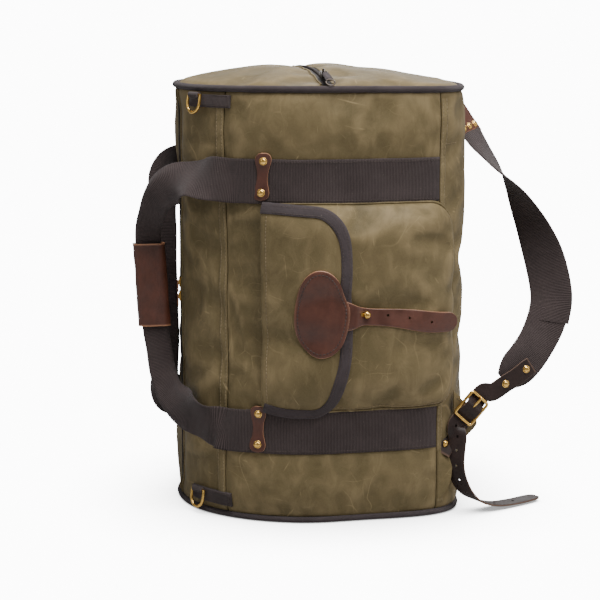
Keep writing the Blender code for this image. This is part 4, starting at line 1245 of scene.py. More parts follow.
def add_handles():
    for where, route in HANDLE_ROUTES.items():
        side = -1 if where == "front" else 1
        rows = mm_rows(route)
        for level, up in (("upper", 1), ("lower", -1)):
            x, z = CHAPES[level][0], BAND_Z[level]
            ends = [(*FLAT_SKIN.at(arc_at(x + 3 * MM, side), z, 1.6 * MM), 0, 0, up, 0)]
            for step in (9, 20, 31):
                ends.append((*SKIN.at(arc_at(x - step * MM, side), z, (3 + step / 9) * MM), 0, 0,
                    up, 0))
            rows = ends + rows if up > 0 else rows + ends[::-1]
        strap = webbing_strap("webbing_handle_" + where, rows, WEBBING, WEBBING_THICK, "webbing")
        body = "handle_" + where
        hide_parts(body)
        joint = next(j for j in record["behaviour"]["joints"] if j["child"] == body)
        start = Vector(joint["pos_m"])
        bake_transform(strap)


def add_sleeve():
    """Leather wrapped round the folded webbing, lapped along one edge."""
    lowest, highest = low("handle_sleeve"), high("handle_sleeve")
    bottom = Vector((-195 * MM, -12 * MM, lowest.z))
    top = Vector((-201 * MM, -12 * MM, highest.z))
    half_w, half_d, thick = 18.2 * MM, 7.6 * MM, 2.1 * MM
    lap = 0.30  # share of the way round where the leather ends over itself
    count, rings = 64, spread(0, 1, 44)
    outer, inner, edge, uvs = [], [], [], []
    for share in rings:
        centre = bottom.lerp(top, share)
        end = min(share, 1 - share)
        flare = 1 + 0.02 * math.exp(-end / 0.03)
        rows = ([], [], [], [])
        for k in range(count + 1):
            t = k / count
            a = math.tau * (t + lap)
            c, s = math.cos(a), math.sin(a)
            r = (abs(c) ** 3.2 + abs(s) ** 3.2) ** (-1 / 3.2)
            lift = 1.5 * MM * smoothstep(0.0, 0.16, t) - 1.5 * MM + 1.5 * MM
            dent = noise.noise(Vector((c * 2, s * 2, share * 5))) * 0.7 * MM
            radial = Vector((c * r * half_w, s * r * half_d, 0)) * flare
            grow = radial.normalized() * (lift * (1 if t > 0.5 else 0.35) + dent)
            rows[0].append(centre + radial + grow)
            rows[1].append(centre + radial + grow - radial.normalized() * thick)
            at_edge = 1.0 if end < 0.004 or k in (0, count) else 0.4 if end < 0.03 else 0.0
            rows[2].append(at_edge)
            rows[3].append((t * 0.11, share * 0.1))
        for grid, row in zip((outer, inner, edge, uvs), rows):
            grid.append(row)
    sleeve = thick_sheet("leather_sleeve", outer, inner, "leather", uvs, {"edge": np.array(edge)},
        smooth=60)
    settle(sleeve, "handle_front", "handle_sleeve")


# ---------------------------------------------------------------- chapes, rivets and D-rings


def add_chapes():
    for side, where in ((-1, "front"), (1, "back")):
        for level in BAND_Z:
            label = f"{where}_{level}"
            node = "chape_" + label
            centre_x, centre_z, tilt = CHAPES[level]
            ends = [(1, 0.15), (0.985, 0.42), (0.95, 0.66), (0.88, 0.88), (0.78, 0.99), (0.66, 1.0),
                (0.5, 0.9), (0.3, 0.74)]
            rows = ends + [(0.12, 0.66), (-0.12, 0.66)] + [(-d, w) for d, w in reversed(ends)]
            base = 0.5 * MM + WEBBING_THICK + 0.15 * MM

            def place(i, s, off, rows=rows, x=centre_x, z=centre_z, side=side, tilt=tilt,
                base=base):
                d, w = rows[i]
                x += s * w * 8.2 * MM + d * CHAPE_HALF * tilt
                return FLAT_SKIN.at(arc_at(x, side), z + d * CHAPE_HALF, base + LEATHER / 2 + off)

            settle(leather_piece("leather_" + node, len(rows), place, LEATHER, "leather"), "shell",
                node)
            for end in ("a", "b"):
                rivet = f"rivet_{label}_{end}"
                z = centre_z + math.copysign(RIVET_APART, middle(rivet).z - middle(node).z)
                x = centre_x + (z - centre_z) * tilt
                arc = arc_at(x, side)
                out = FLAT_SKIN.axes(arc, z)[2]
                spot = FLAT_SKIN.at(arc, z, base + LEATHER * 0.9)
                settle(lathe("brass_" + rivet, domed(4.7 * MM, 3.4 * MM), spot, out, "brass"),
                    "shell", rivet)


def d_points(bar, axis, away, half, reach, count=26):
    """A D: a straight bar with a half-round bow."""
    points = [bar + axis * v for v in spread(-half * 0.86, half * 0.86, 6)]
    for k in range(1, count):
        t = math.pi * k / count
        bulge = 1 - 0.14 * abs(math.cos(t)) ** 8
        points.append(bar + axis * math.cos(t) * half * bulge + away * math.sin(t) ** 0.8 * reach)
    return points


RING_X = -146 * MM


def add_d_rings():
    """Each ring hangs from a webbing tab that is sewn down beside the seam."""
    for name in ("top", "bottom"):
        joint = next(j for j in record["behaviour"]["joints"] if j["child"] == "ring_" + name)
        bar = Vector(joint["pos_m"])
        along = -Vector(joint["axis"])
        bar_z = bar.z
        tab_high, half = high("d_ring_tab_" + name), 8.6 * MM
        z = bar_z - 5.5 * MM
        start, end = arc_at(tab_high.x + 1.0 * MM), arc_at(RING_X - 7 * MM)
        out = along.cross(UP)
        us = spread(end, start, 26)
        strip = laid_strip(f"w_{name}", FLAT_SKIN, us, z - half, z + half, 0.7 * MM, 3.4 * MM,
            "webbing", lip=0.08)
        ends = [bar - along * 8.2 * MM, bar + along * 8.2 * MM]
        wrap = tube(f"v_{name}", ends, 3.5 * MM, "webbing", 20, smooth=40)
        join("webbing_tab_" + name, [strip, wrap], "shell", "d_ring_tab_" + name)
        away = (-UP + out * 0.16).normalized()
        points = d_points(bar, along, away, 12.4 * MM, 20.5 * MM)
        ring = tube("brass_ring_" + name, points, 1.75 * MM, "brass", 12, closed=True)
        settle(ring, "ring_" + name, "d_ring_" + name)
        inset = half - 2 * MM
        rows = [(arc_at(-132 * MM), z + inset), (start - 2.5 * MM, z + inset),
            (start - 2.5 * MM, z - inset)]
        rows.append((arc_at(-132 * MM), z - inset))
        for one, two in zip(rows, rows[1:]):
            THREADS["dark"].run(skin_line([one, two], 4.2 * MM, FLAT_SKIN), 3 * MM, 0.3 * MM)


# ---------------------------------------------------------------- pocket and flap


POCKET_LEFT, POCKET_RIGHT = low("pocket_body").x + 5.5 * MM, high("pocket_body").x + 11 * MM
POCKET_BOTTOM, POCKET_TOP = low("pocket_body").z, high("pocket_body").z
POCKET_PUFF = 12.5 * MM
FLAP_RIGHT = high("pocket_flap").x - 3 * MM
FLAP_BOTTOM, FLAP_TOP = low("pocket_flap").z + 4 * MM, high("pocket_flap").z - 1 * MM


def pocket_span(arc):
    """Lowest and highest z of the pocket here: its two right corners are rounded."""
    right = arc_at(POCKET_RIGHT)
    top, bottom = POCKET_TOP, POCKET_BOTTOM
    for radius, tall, at_top in ((38 * MM, 46 * MM, True), (24 * MM, 26 * MM, False)):
        t = max(0.0, min(1.0, (arc - (right - radius)) / radius))
        drop = tall * (1 - math.sqrt(1 - t * t))
        if at_top:
            top -= drop
        else:
            bottom += drop
    return bottom, top


def pocket_surface():
    left, right = arc_at(POCKET_LEFT), arc_at(POCKET_RIGHT)
    us = spread(left, right, 48)
    vs = spread(0, 1, 52)
    start, pins = np.zeros((49, 53, 3)), np.zeros((49, 53))
    for i, u in enumerate(us):
        bottom, top = pocket_span(u)
        for j, v in enumerate(vs):
            z = bottom + (top - bottom) * v
            side = (u - left) / (right - left)
            across = 1 - 0.5 * (1 - side) ** 2 if side < 0.6 else 0.92 * max(0,
                1 - ((side - 0.6) / 0.4) ** 9) ** 0.5
            tall = max(0.0, 1 - abs(2 * v - 1) ** 7) ** 0.6
            place = Vector((u * 20, z * 20, 3))
            puff = POCKET_PUFF * across * tall + noise.noise(place) * 1.6 * MM * tall
            start[i, j] = SKIN.at(u, z, 1.2 * MM + puff)
            if i in (0, 48) or j in (0, 52):
                pins[i, j] = 1
    return Surface(us, vs, simulate(start, pins, pressure=2.0, spare=0.02, cap=5 * MM, bending=7))


POCKET = pocket_surface()


def height_field():
    """How far the pocket stands out of the skin, over arc and z, smoothed."""
    us = spread(POCKET.us[0] - 12 * MM, POCKET.us[-1] + 6 * MM, 60)
    zs = spread(POCKET_BOTTOM - 20 * MM, POCKET_TOP + 12 * MM, 70)
    field = np.zeros((61, 71))
    for i, u in enumerate(us):
        bottom, top = pocket_span(u)
        for j, z in enumerate(zs):
            v = (z - bottom) / (top - bottom)
            inside = POCKET.us[0] < u < POCKET.us[-1] and 0 < v < 1
            field[i, j] = (POCKET.at(u, v)
                - SKIN.at(u, z)).dot(SKIN.axes(u, z)[2]) if inside else 1.5 * MM
    return np.array(us), np.array(zs), blur(np.maximum(field, blur(field, 3)), 2)


HEIGHT_US, HEIGHT_ZS, HEIGHTS = height_field()


def pocket_height(arc, z):
    i = float(np.clip(np.interp(arc, HEIGHT_US, np.arange(61)), 0, 59.999))
    j = float(np.clip(np.interp(z, HEIGHT_ZS, np.arange(71)), 0, 69.999))
    a, b, s, t = int(i), int(j), i % 1, j % 1
    near = HEIGHTS[a, b] * (1 - t) + HEIGHTS[a, b + 1] * t
    return near * (1 - s) + (HEIGHTS[a + 1, b] * (1 - t) + HEIGHTS[a + 1, b + 1] * t) * s


def cover(x, z, off=0.0):
    """A point over the pocket, or over the skin beside it."""
    arc = arc_at(x)
    return FLAT_SKIN.at(arc, z, pocket_height(arc, z) + off)


def cover_out(x, z):
    step = 2 * MM
    along = cover(x + step, z) - cover(x - step, z)
    up = cover(x, z + step) - cover(x, z - step)
    return along.cross(up).normalized()


def add_pocket():
    values = relief(POCKET.points, POCKET.normals, SKIN_STEP)
    inner = POCKET.points - POCKET.normals * 1.6 * MM
    uvs = [[(u, v * 0.24) for v in POCKET.vs] for u in POCKET.us]
    body = thick_sheet("canvas_pocket", POCKET.points, inner, "canvas", uvs, values, levels=1)
    settle(body, "shell", "pocket_body")
    rim = []
    left, right = POCKET.us[0], POCKET.us[-1]
    for u in spread(left, right, 60):
        bottom, _ = pocket_span(u)
        rim.append(SKIN.at(u, bottom - 0.5 * MM, 1.4 * MM))
    for v in spread(0, 1, 40)[1:-1]:
        bottom, top = pocket_span(right)
        rim.append(SKIN.at(right + 0.4 * MM, bottom + (top - bottom) * v, 1.4 * MM))
    for u in reversed(spread(left, right, 60)):
        _, top = pocket_span(u)
        rim.append(SKIN.at(u, top + 0.5 * MM, 1.4 * MM))
    rim = resample(rim, 3 * MM)
    settle(tube("pocket_welt", rim, 1.5 * MM, "seam_canvas", 8), "shell")
    for margin in (5 * MM,):
        path = []
        for u in spread(left + margin, right - margin, 60):
            v = margin / (POCKET_TOP - POCKET_BOTTOM)
            path.append((POCKET.at(u, v, 0.2 * MM), POCKET.axes(u, v)[2]))
        THREADS["shell"].run(path)


def flap_edges(x):
    """Lowest and highest z of the flap at this x: rounded on its free side."""
    reach = (x - POCKET_LEFT) / (FLAP_RIGHT - POCKET_LEFT)
    top, bottom = FLAP_TOP - 9 * MM * max(0.0, reach), FLAP_BOTTOM
    t = max(0.0, (x - (FLAP_RIGHT - 36 * MM)) / (36 * MM))
    top -= 48 * MM * (1 - math.sqrt(max(0.0, 1 - min(1, t) ** 2)))
    t = max(0.0, (x - (FLAP_RIGHT - 44 * MM)) / (44 * MM))
    bottom += 98 * MM * (1 - math.sqrt(max(0.0, 1 - min(1, t) ** 2.6)))
    root = max(0.0, 1 - (x - POCKET_LEFT) / (36 * MM))
    return bottom + 6 * MM * root**2, top


FLAP_OFF = 1.3 * MM
FLAP_THICK = 2.0 * MM


def flap_xs():
    turn = [FLAP_RIGHT - 44 * MM * (1 - math.sin(math.pi / 2 * k / 18)) for k in range(19)]
    return spread(POCKET_LEFT - 1 * MM, FLAP_RIGHT - 44 * MM, 14)[:-1] + turn


def flap_wave(x, z):
    swell = noise.noise(Vector((x * 22, z * 16, 8))) + 0.5 * noise.noise(Vector((x * 60,
        z * 22, 1)))
    return max(0.0, 1.0 + swell) * 1.1 * MM


def add_flap():
    outer, inner, uvs = [], [], []
    for x in flap_xs():
        bottom, top = flap_edges(x)
        zs = [bottom + (top - bottom) * (0.5 - 0.5 * math.cos(math.pi * k / 56)) for k in range(57)]
        outer.append([cover(x, z, FLAP_OFF + FLAP_THICK + flap_wave(x, z)) for z in zs])
        inner.append([cover(x, z, FLAP_OFF + flap_wave(x, z)) for z in zs])
        uvs.append([(x, z) for z in zs])
    outer = np.array(outer)
    normals = grid_normals(outer)
    values = relief(outer, normals, SKIN_STEP)
    flap = thick_sheet("canvas_flap", outer, inner, "canvas", uvs, values, levels=1)
    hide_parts("pocket_flap")
    hinge = next(j for j in record["behaviour"]["joints"] if j["child"] == "flap")
    start = Vector(hinge["pos_m"])
    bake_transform(flap)
    root = [cover(POCKET_LEFT - 0.5 * MM, z, FLAP_OFF + 1.2 * MM)
        for z in spread(flap_edges(POCKET_LEFT)[0] + 6 * MM, FLAP_TOP - 12 * MM, 60)]
    settle(tube("flap_root_fold", root, 1.7 * MM, "canvas", 8), "shell")
    path = []
    for z in spread(flap_edges(POCKET_LEFT)[0] + 8 * MM, FLAP_TOP - 14 * MM, 70):
        path.append((cover(POCKET_LEFT + 5 * MM, z,
            FLAP_OFF + FLAP_THICK + flap_wave(POCKET_LEFT + 5 * MM, z)),
            cover_out(POCKET_LEFT + 5 * MM, z)))
    THREADS["flap_tan"].run(path)
    add_binding()


def flap_outline():
    """Points of the flap's free edge as (x, z), from its upper root, round to its lower root."""
    xs = flap_xs()
    line = [(x, flap_edges(x)[1]) for x in xs]
    line += [(FLAP_RIGHT, z)
        for z in spread(flap_edges(FLAP_RIGHT)[1], flap_edges(FLAP_RIGHT)[0], 20)[1:-1]]
    line += [(x, flap_edges(x)[0]) for x in reversed(xs)]
    return [(p.x, p.y) for p in resample([Vector((x, z, 0)) for x, z in line], 4 * MM)]


def add_binding():
    """Tape folded round the flap's free edge and sewn through."""
    line = flap_outline()
    inward = []
    for i, (x, z) in enumerate(line):
        (xa, za), (xb, zb) = line[max(i - 2, 0)], line[min(i + 2, len(line) - 1)]
        run = math.hypot(xb - xa, zb - za)
        inward.append(((zb - za) / run, -(xb - xa) / run))
    section = [(0.6, 0.9), (-1.0, 1.0), (-1.5, 2.4), (-1.0, 4.0), (0.8, 4.9), (3, 5.1), (6, 5.0),
        (9.5, 5.0)]
    section += [(11.2, 4.6), (11.6, 3.7), (11.0, 3.1), (6, 3.1), (1, 3.1)]
    verts, uvs, faces, run = [], [], [], 0.0
    for i, ((x, z), (dx, dz)) in enumerate(zip(line, inward)):
        run += math.hypot(x - line[i - 1][0], z - line[i - 1][1]) if i else 0
        for q, h in section:
            px, pz = x + dx * q * MM, z + dz * q * MM
            verts.append(cover(px, pz, FLAP_OFF - 1.2 * MM + h * MM + flap_wave(px, pz)))
            uvs.append((run, q * MM))
    size = len(section)
    for i in range(len(line) - 1):
        for k in range(size):
            a, b = i * size, (i + 1) * size
            faces.append((a + k, a + (k + 1) % size, b + (k + 1) % size, b + k))
    faces += [tuple(range(size))[::-1], tuple(range((len(line) - 1) * size, len(line) * size))]
    tape = make_object("flap_edge_tape", verts, faces, "binding", uvs, smooth=50)
    recalculate(tape)
    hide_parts("flap_binding")
    hinge = next(j for j in record["behaviour"]["joints"] if j["child"] == "flap")
    start = Vector(hinge["pos_m"])
    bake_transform(tape)
    for q in (2.2, 9.6):
        path = []
        for (x, z), (dx, dz) in list(zip(line, inward))[3:-3]:
            px, pz = x + dx * q * MM, z + dz * q * MM
            path.append((cover(px, pz, FLAP_OFF + 3.85 * MM + flap_wave(px, pz)),
                cover_out(px, pz)))
        THREADS["flap"].run(path, 3.6 * MM, 0.3 * MM)


def oval_off(x):
    """The oval climbs over the edge tape at its right side."""
    return FLAP_OFF + FLAP_THICK + 0.3 * MM + 4.6 * MM * smoothstep(-14 * MM, 4 * MM, x)


def add_oval():
    centre = (low("oval_patch") + high("oval_patch")) / 2
    centre += Vector((1.6 * MM, 0, 0))
    half_x, half_z = 27.4 * MM, (high("oval_patch").z - low("oval_patch").z) / 2
    shares = [-1, -0.985, -0.94] + spread(-0.86, 0.86, 26) + [0.94, 0.985, 1]

    def place(i, s, off):
        t = shares[i]
        x = centre.x + half_x * s * math.sqrt(1 - t * t / 2)
        z = centre.z + half_z * t * math.sqrt(1 - s * s / 2)
        return cover(x, z, oval_off(x) + LEATHER / 2 + off + flap_wave(centre.x, centre.z) * 0.7
            + flap_wave(x, z) * 0.3)

    oval = leather_piece("leather_oval", len(shares), place, LEATHER, "leather", shares)
    settle(oval, "flap", "oval_patch")
    path = []
    for k in range(73):
        a = math.tau * k / 72
        x = centre.x + (half_x - 4 * MM) * math.cos(a)
        z = centre.z + (half_z - 4 * MM) * math.sin(a)
        lift = flap_wave(centre.x, centre.z) * 0.7 + flap_wave(x, z) * 0.3
        path.append((cover(x, z, oval_off(x) + LEATHER + lift + 0.05 * MM), cover_out(x, z)))
    THREADS["flap"].run(path, 4.2 * MM, 0.5 * MM)


STUD = middle("pocket_stud") + Vector((-3.5 * MM, 0, 0))


def tongue_z(x):
    return STUD.z - 0.115 * (x - STUD.x)


def cut_holes(obj, cutters):
    for cutter in cutters:
        modifier = obj.modifiers.new("hole", "BOOLEAN")
        modifier.operation = "DIFFERENCE"
        modifier.solver = "EXACT"
        modifier.object = cutter
        with bpy.context.temp_override(object=obj, active_object=obj):
            bpy.ops.object.modifier_apply(modifier="hole")
        bpy.data.objects.remove(cutter)


def add_tongue():
    """The strap that buttons over the stud, with spare holes along its tail."""
    start, tip = low("flap_tongue").x - 12 * MM, high("flap_tongue").x - 10 * MM
    widths = [(start, 36), (start + 8 * MM, 32), (17 * MM, 27), (23 * MM, 23.4), (30 * MM, 21.8),
        (50 * MM, 21.8)]
    widths += [(80 * MM, 22.2), (tip - 30 * MM, 22.4), (tip - 11.2 * MM, 22.4)]
    rows = curve_through(widths, 4)
    rows += [(tip - 11.2 * MM * (1 - math.sin(a)), 22.4 * math.cos(a))
        for a in spread(0.12, 1.5, 14)]
    ridge = FLAP_OFF + FLAP_THICK + 0.9 * MM

    def place(i, s, off):
        x, w = rows[i]
        z = tongue_z(x) + s * w / 2 * MM
        near = min(x, 104 * MM)
        arc = arc_at(near)
        lift = pocket_height(arc, tongue_z(near)) * 0.75 + pocket_height(arc, z) * 0.25
        climb = ridge * (1 - smoothstep(14 * MM, 27 * MM, x)) + 1.7 * MM
        return FLAT_SKIN.at(arc_at(x), z, lift + climb + off + 0.5 * LEATHER)

    tongue = leather_piece("leather_tongue", len(rows), place, LEATHER, "leather")
    holes = []
    for x, radius in ((STUD.x - 1.5 * MM, 3.0), (53 * MM, 1.5), (77.5 * MM, 1.5), (102 * MM, 1.5)):
        z = tongue_z(x)
        at = FLAT_SKIN.at(arc_at(min(x, 104 * MM)), z)
        out = FLAT_SKIN.axes(arc_at(x), z)[2]
        bm = bmesh.new()
        bmesh.ops.create_cone(bm, cap_ends=True, segments=20, radius1=radius * MM,
            radius2=radius * MM, depth=60 * MM)
        if radius > 2:
            bmesh.ops.scale(bm, verts=bm.verts, vec=(2.0, 1, 1))
        turn = turn_of(FLAT_SKIN.axes(arc_at(x), z)[0], out).to_4x4()
        bmesh.ops.transform(bm, matrix=Matrix.Translation(at) @ turn, verts=bm.verts)
        mesh = bpy.data.meshes.new("cutter")
        bm.to_mesh(mesh)
        bm.free()
        holes.append(bpy.data.objects.new("cutter", mesh))
        bpy.context.scene.collection.objects.link(holes[-1])
    cut_holes(tongue, holes)
    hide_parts("flap_tongue")
    hinge = next(j for j in record["behaviour"]["joints"] if j["child"] == "tongue")
    pivot = Vector(hinge["pos_m"])
    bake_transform(tongue)
    out = FLAT_SKIN.axes(arc_at(STUD.x), STUD.z)[2]
    base = cover(STUD.x, STUD.z, -0.8 * MM)
    profile = [(5.2, 0), (5.2, 0.9), (2.3, 1.5), (2.1, 4.6), (2.6, 5.6), (3.6, 6.4), (4.3, 7.6),
        (4.3, 8.8), (3.5, 10.2), (2.0, 11.1), (0.3, 11.4)]
    stud = lathe("brass_stud", [(r * MM, h * MM) for r, h in profile], base, out, "brass")
    settle(stud, "shell", "pocket_stud")


# ---------------------------------------------------------------- backpack straps


def frame_at(stations, i):
    """Middle, direction across and direction out of the face of a strap at a station."""
    centre, across = Vector(stations[i][:3]), Vector(stations[i][3:6])
    before = Vector(stations[max(i - 1, 0)][:3])
    after = Vector(stations[min(i + 1, len(stations) - 1)][:3])
    along = (after - before).normalized()
    across = (across - along * across.dot(along)).normalized()
    return centre, across, across.cross(along)


def strap_stations(rows, steps):
    """Stations in metres along rows of x, y, z, across x, y, z and width, in millimetres."""
    return curve_through([tuple(v * MM for v in r[:3]) + tuple(r[3:6]) + (r[6] * MM, *r[7:])
        for r in rows], steps)


def ribbon(name, rows, thick, material="webbing", steps=8, crown=0.0):
    """Flat webbing; a row may end with its own thickness, and crown domes both faces."""
    stations = strap_stations(rows, steps)
    shares = [-1, -0.975, -0.92] + spread(-0.82, 0.82, 12) + [0.92, 0.975, 1]
    outer, inner, uvs, run = [], [], [], 0.0
    for i, row in enumerate(stations):
        centre, across, out = frame_at(stations, i)
        run += (centre - Vector(stations[max(i - 1, 0)][:3])).length
        full = row[7] * MM if len(row) > 7 else thick
        lines = ([], [], [])
        for s in shares:
            edge = math.sqrt(max(0.0, 1 - abs(s) ** (14 if crown == 0 else 4)))
            depth = full / 2 * (0.35 + 0.65 * edge)
            sag = crown * MM * (1 - s * s) + noise.noise(Vector((run * 25, s, 3))) * 0.5 * MM
            lines[0].append(centre + across * s * row[6] / 2 + out * (depth + sag))
            lines[1].append(centre + across * s * row[6] / 2 + out * (sag - depth))
            lines[2].append((run, s * row[6] / 2))
        for grid, line in zip((outer, inner, uvs), lines):
            grid.append(line)
    return thick_sheet(name, outer, inner, material, uvs, smooth=60)


def leather_strap(name, rows, material, steps=4, thick=LEATHER):
    stations = strap_stations(rows, steps)

    def place(i, s, off):
        centre, across, out = frame_at(stations, i)
        return centre + across * s * stations[i][6] / 2 + out * off

    return leather_piece(name, len(stations), place, thick, material)


def rivet_on(name, body, place, out, radius=4.6 * MM, height=3.2 * MM):
    settle(lathe(name, domed(radius, height), place, out, "brass"), body)


def punch(obj, places, radius=1.6 * MM):
    """Round holes through a leather piece: places are (point, direction)."""
    cutters = []
    for point, out in places:
        bm = bmesh.new()
        bmesh.ops.create_cone(bm, cap_ends=True, segments=16, radius1=radius, radius2=radius,
            depth=9 * MM)
        turn = out.to_track_quat("Z", "Y").to_matrix().to_4x4()
        bmesh.ops.transform(bm, matrix=Matrix.Translation(point) @ turn, verts=bm.verts)
        mesh = bpy.data.meshes.new("cutter")
        bm.to_mesh(mesh)
        bm.free()
        cutters.append(bpy.data.objects.new("cutter", mesh))
        bpy.context.scene.collection.objects.link(cutters[-1])
    cut_holes(obj, cutters)


STRAPS = {
    "a": {
        "side": -1,
        "chape": [
            (166, -46, 493, -0.36, -0.93, 0, 46),
            (170, -48, 480, -0.54, -0.84, 0, 49),
            (178, -51, 463, -0.62, -0.78, -0.05, 50),
            (187, -56, 446, -0.66, -0.75, -0.07, 53),
        ],
        "webbing": [
            (176, -52, 462, -0.62, -0.78, -0.05, 51),
            (187, -57, 444.5, -0.66, -0.75, -0.07, 51),
            (200, -60, 427, -0.55, -0.83, -0.06, 51),
            (217, -64, 405, -0.36, -0.93, -0.03, 51),
            (230, -68, 386, -0.02, -1, 0.02, 51),
            (243, -73, 363, 0.28, -0.95, 0.12, 51),
            (258, -79, 331, 0.55, -0.8, 0.24, 51),
            (271, -87, 292, 0.8, -0.55, 0.24, 51),
            (277, -95, 252, 0.87, -0.48, 0.05, 51),
            (271, -102, 222, 0.9, -0.35, -0.2, 50),
        ],
        "pad": [
            (274, -99, 236, 0.9, -0.4, -0.1, 48, 2.6),
            (266, -102, 215, 0.88, -0.3, -0.35, 47, 4.4),
            (255, -106, 196, 0.78, -0.2, -0.58, 46, 6.0),
            (242, -109, 179, 0.64, -0.1, -0.75, 47, 7.0),
            (230, -111, 167, 0.6, -0.05, -0.8, 46, 7.0),
            (221, -112, 159, 0.6, 0, -0.8, 38, 6.2),
            (214, -113, 153, 0.6, 0, -0.8, 26, 4.6),
        ],
        "leather": [
            (246, -117, 172, 0.5, 0, -0.86, 21),
            (239, -118.2, 167.5, 0.5, 0, -0.86, 22),
            (227, -119.2, 159, 0.5, 0, -0.86, 22),
            (213, -119.8, 151, 0.5, 0, -0.86, 22),
            (197, -121.5, 142, 0.6, 0, -0.8, 22),
        ],
        "tail": [
            (151, -131, 92, 0.85, -0.45, -0.3, 22),
            (149, -134.5, 76, 0.78, -0.6, -0.1, 22),
            (148, -137.5, 58, 0.7, -0.7, 0, 22),
            (151.5, -139.5, 41, 0.68, -0.72, 0.15, 22),
            (161, -139.5, 25, 0.5, -0.85, 0.15, 22),
            (177, -136, 13, 0.3, -0.95, 0, 22),
            (199, -129, 5.8, 0.34, -0.94, 0, 22),
            (226, -117, 3.6, 0.4, -0.92, 0, 22),
            (249, -106, 3.6, 0.42, -0.9, 0, 21),
            (258, -102, 3.8, 0.42, -0.9, 0, 17),
            (262, -100, 3.9, 0.42, -0.9, 0, 8),
        ],
        "buckle": ((168.5, -128, 125), (-0.68, -0.05, -0.74), (0.74, 0, -0.68)),
        "anchor": [(166, -124.5, 122, 0.74, 0, -0.68, 21), (157, -125, 109, 0.76, 0, -0.65, 22)],
    },
    "b": {
        "side": 1,
        "chape": [
            (166, 46, 493, 0, -1, 0, 46),
            (169, 48, 480, 0, -1, 0, 50),
            (175, 51, 462, 0, -1, 0, 50),
            (182, 55, 446, 0, -1, 0, 53),
        ],
        "webbing": [
            (174, 52, 462, 0, -1, 0, 51),
            (183, 56, 444, 0, -1, 0, 51),
            (195, 60, 414, 0, -1, -0.1, 51),
            (197, 65, 386, 0, -1, -0.15, 51),
            (189, 72, 345, 0, -1, -0.2, 51),
            (184, 80, 300, 0, -1, -0.2, 51),
            (183, 88, 255, 0, -1, -0.2, 51),
            (184, 94, 220, 0, -1, -0.2, 50),
        ],
        "pad": [
            (183.5, 92, 233, 0, -1, -0.2, 48, 2.6),
            (184, 96, 212, 0, -1, -0.2, 47, 4.6),
            (184, 99, 190, 0, -1, -0.2, 47, 6.4),
            (183, 102, 172, 0, -1, -0.2, 44, 6.4),
            (182, 104, 160, 0, -1, -0.2, 28, 4.6),
        ],
        "leather": [
            (188.5, 100, 178, 0, -1, -0.2, 21),
            (188, 102, 170, 0, -1, -0.2, 22),
            (187.3, 104.5, 158, 0, -1, -0.25, 22),
            (184, 110, 142, 0.1, -1, -0.35, 22),
        ],
        "tail": [
            (157, 141, 62, 0.7, -0.7, 0, 22),
            (150, 151, 40, 0.75, -0.65, 0, 22),
            (139, 160, 20, 0.7, -0.7, 0, 22),
            (122, 167, 7, 0.45, -0.9, 0, 22),
            (100, 172, 2.6, 0.2, -1, 0, 22),
            (84, 174.5, 2.2, 0.15, -1, 0, 20),
            (76, 176, 2, 0.15, -1, 0, 9),
        ],
        "buckle": ((177, 123, 112), (-0.35, 0.45, -0.82), (0.5, -0.8, -0.3)),
        "anchor": [(174, 122, 114, 0.5, -0.8, -0.3, 21), (167, 124, 100, 0.5, -0.8, -0.3, 22)],
    },
}
THROUGH = [(-24, -4.2), (-14.2, -3.9), (-8, -0.2), (-3.4, 3.1), (0, 3.8), (3.4, 3.1), (8, -0.2)]
THROUGH += [(12.6, -3.2), (15.7, -3.9)]
BEYOND = [(15.75, -3.9), (19, -3.7), (28, -1.8)]
FRAME_WIDTH, FRAME_LENGTH, FRAME_WIRE = 29.6 * MM, 37 * MM, 1.9 * MM


def buckle_axes(parts):
    """The middle of the buckle, and its directions across the strap, along it and out of it."""
    centre, along, across = (Vector(v) for v in parts["buckle"])
    along.normalize()
    across = (across - along * across.dot(along)).normalized()
    out = along.cross(across)
    if out.y * parts["side"] < 0:
        out, across = -out, -across
    return centre * MM, across, along, out


def add_buckle(name, parts):
    centre, across, along, out = buckle_axes(parts)
    half_w, half_l, corner = FRAME_WIDTH / 2 - FRAME_WIRE, FRAME_LENGTH / 2 - FRAME_WIRE, 3.2 * MM
    loop = []
    for sx, sy, start in ((1, 1, 0), (-1, 1, 90), (-1, -1, 180), (1, -1, 270)):
        for k in range(7):
            a = math.radians(start + 90 * k / 6)
            x = sx * (half_w - corner) + corner * math.cos(a)
            y = sy * (half_l - corner) + corner * math.sin(a)
            loop.append(centre + across * x + along * y)
    rim = tube("f", loop, FRAME_WIRE, "brass", 14, closed=True, guide=out)
    bar = tube("b", [centre - across * half_w, centre + across * half_w], 1.35 * MM, "brass", 10)
    join("brass_frame_" + name, [rim, bar], "strap_" + name, "buckle_frame_" + name)
    route = [(0.2, 1.9), (-2.2, 2.6), (-5, 2.9), (-8, 3.6), (-12, 4.0), (-16, 3.6), (-18.2, 2.9)]
    path = [centre + along * d * MM + out * h * MM for d, h in curve_through(route, 4)]
    sizes = [1.45 * MM] * (len(path) - 3) + [1.3 * MM, 1.05 * MM, 0.7 * MM]
    pin = tube("p", path, sizes, "brass", 10)
    collar = []
    for k in range(14):
        a = math.tau * k / 14
        collar.append(centre + along * math.sin(a) * 2.1 * MM + out * math.cos(a) * 2.1 * MM)
    loop = tube("q", collar, 0.8 * MM, "brass", 8, closed=True, flat=1.6, guide=across)
    join("brass_prong_" + name, [pin, loop], "prong_" + name, "buckle_prong_" + name)


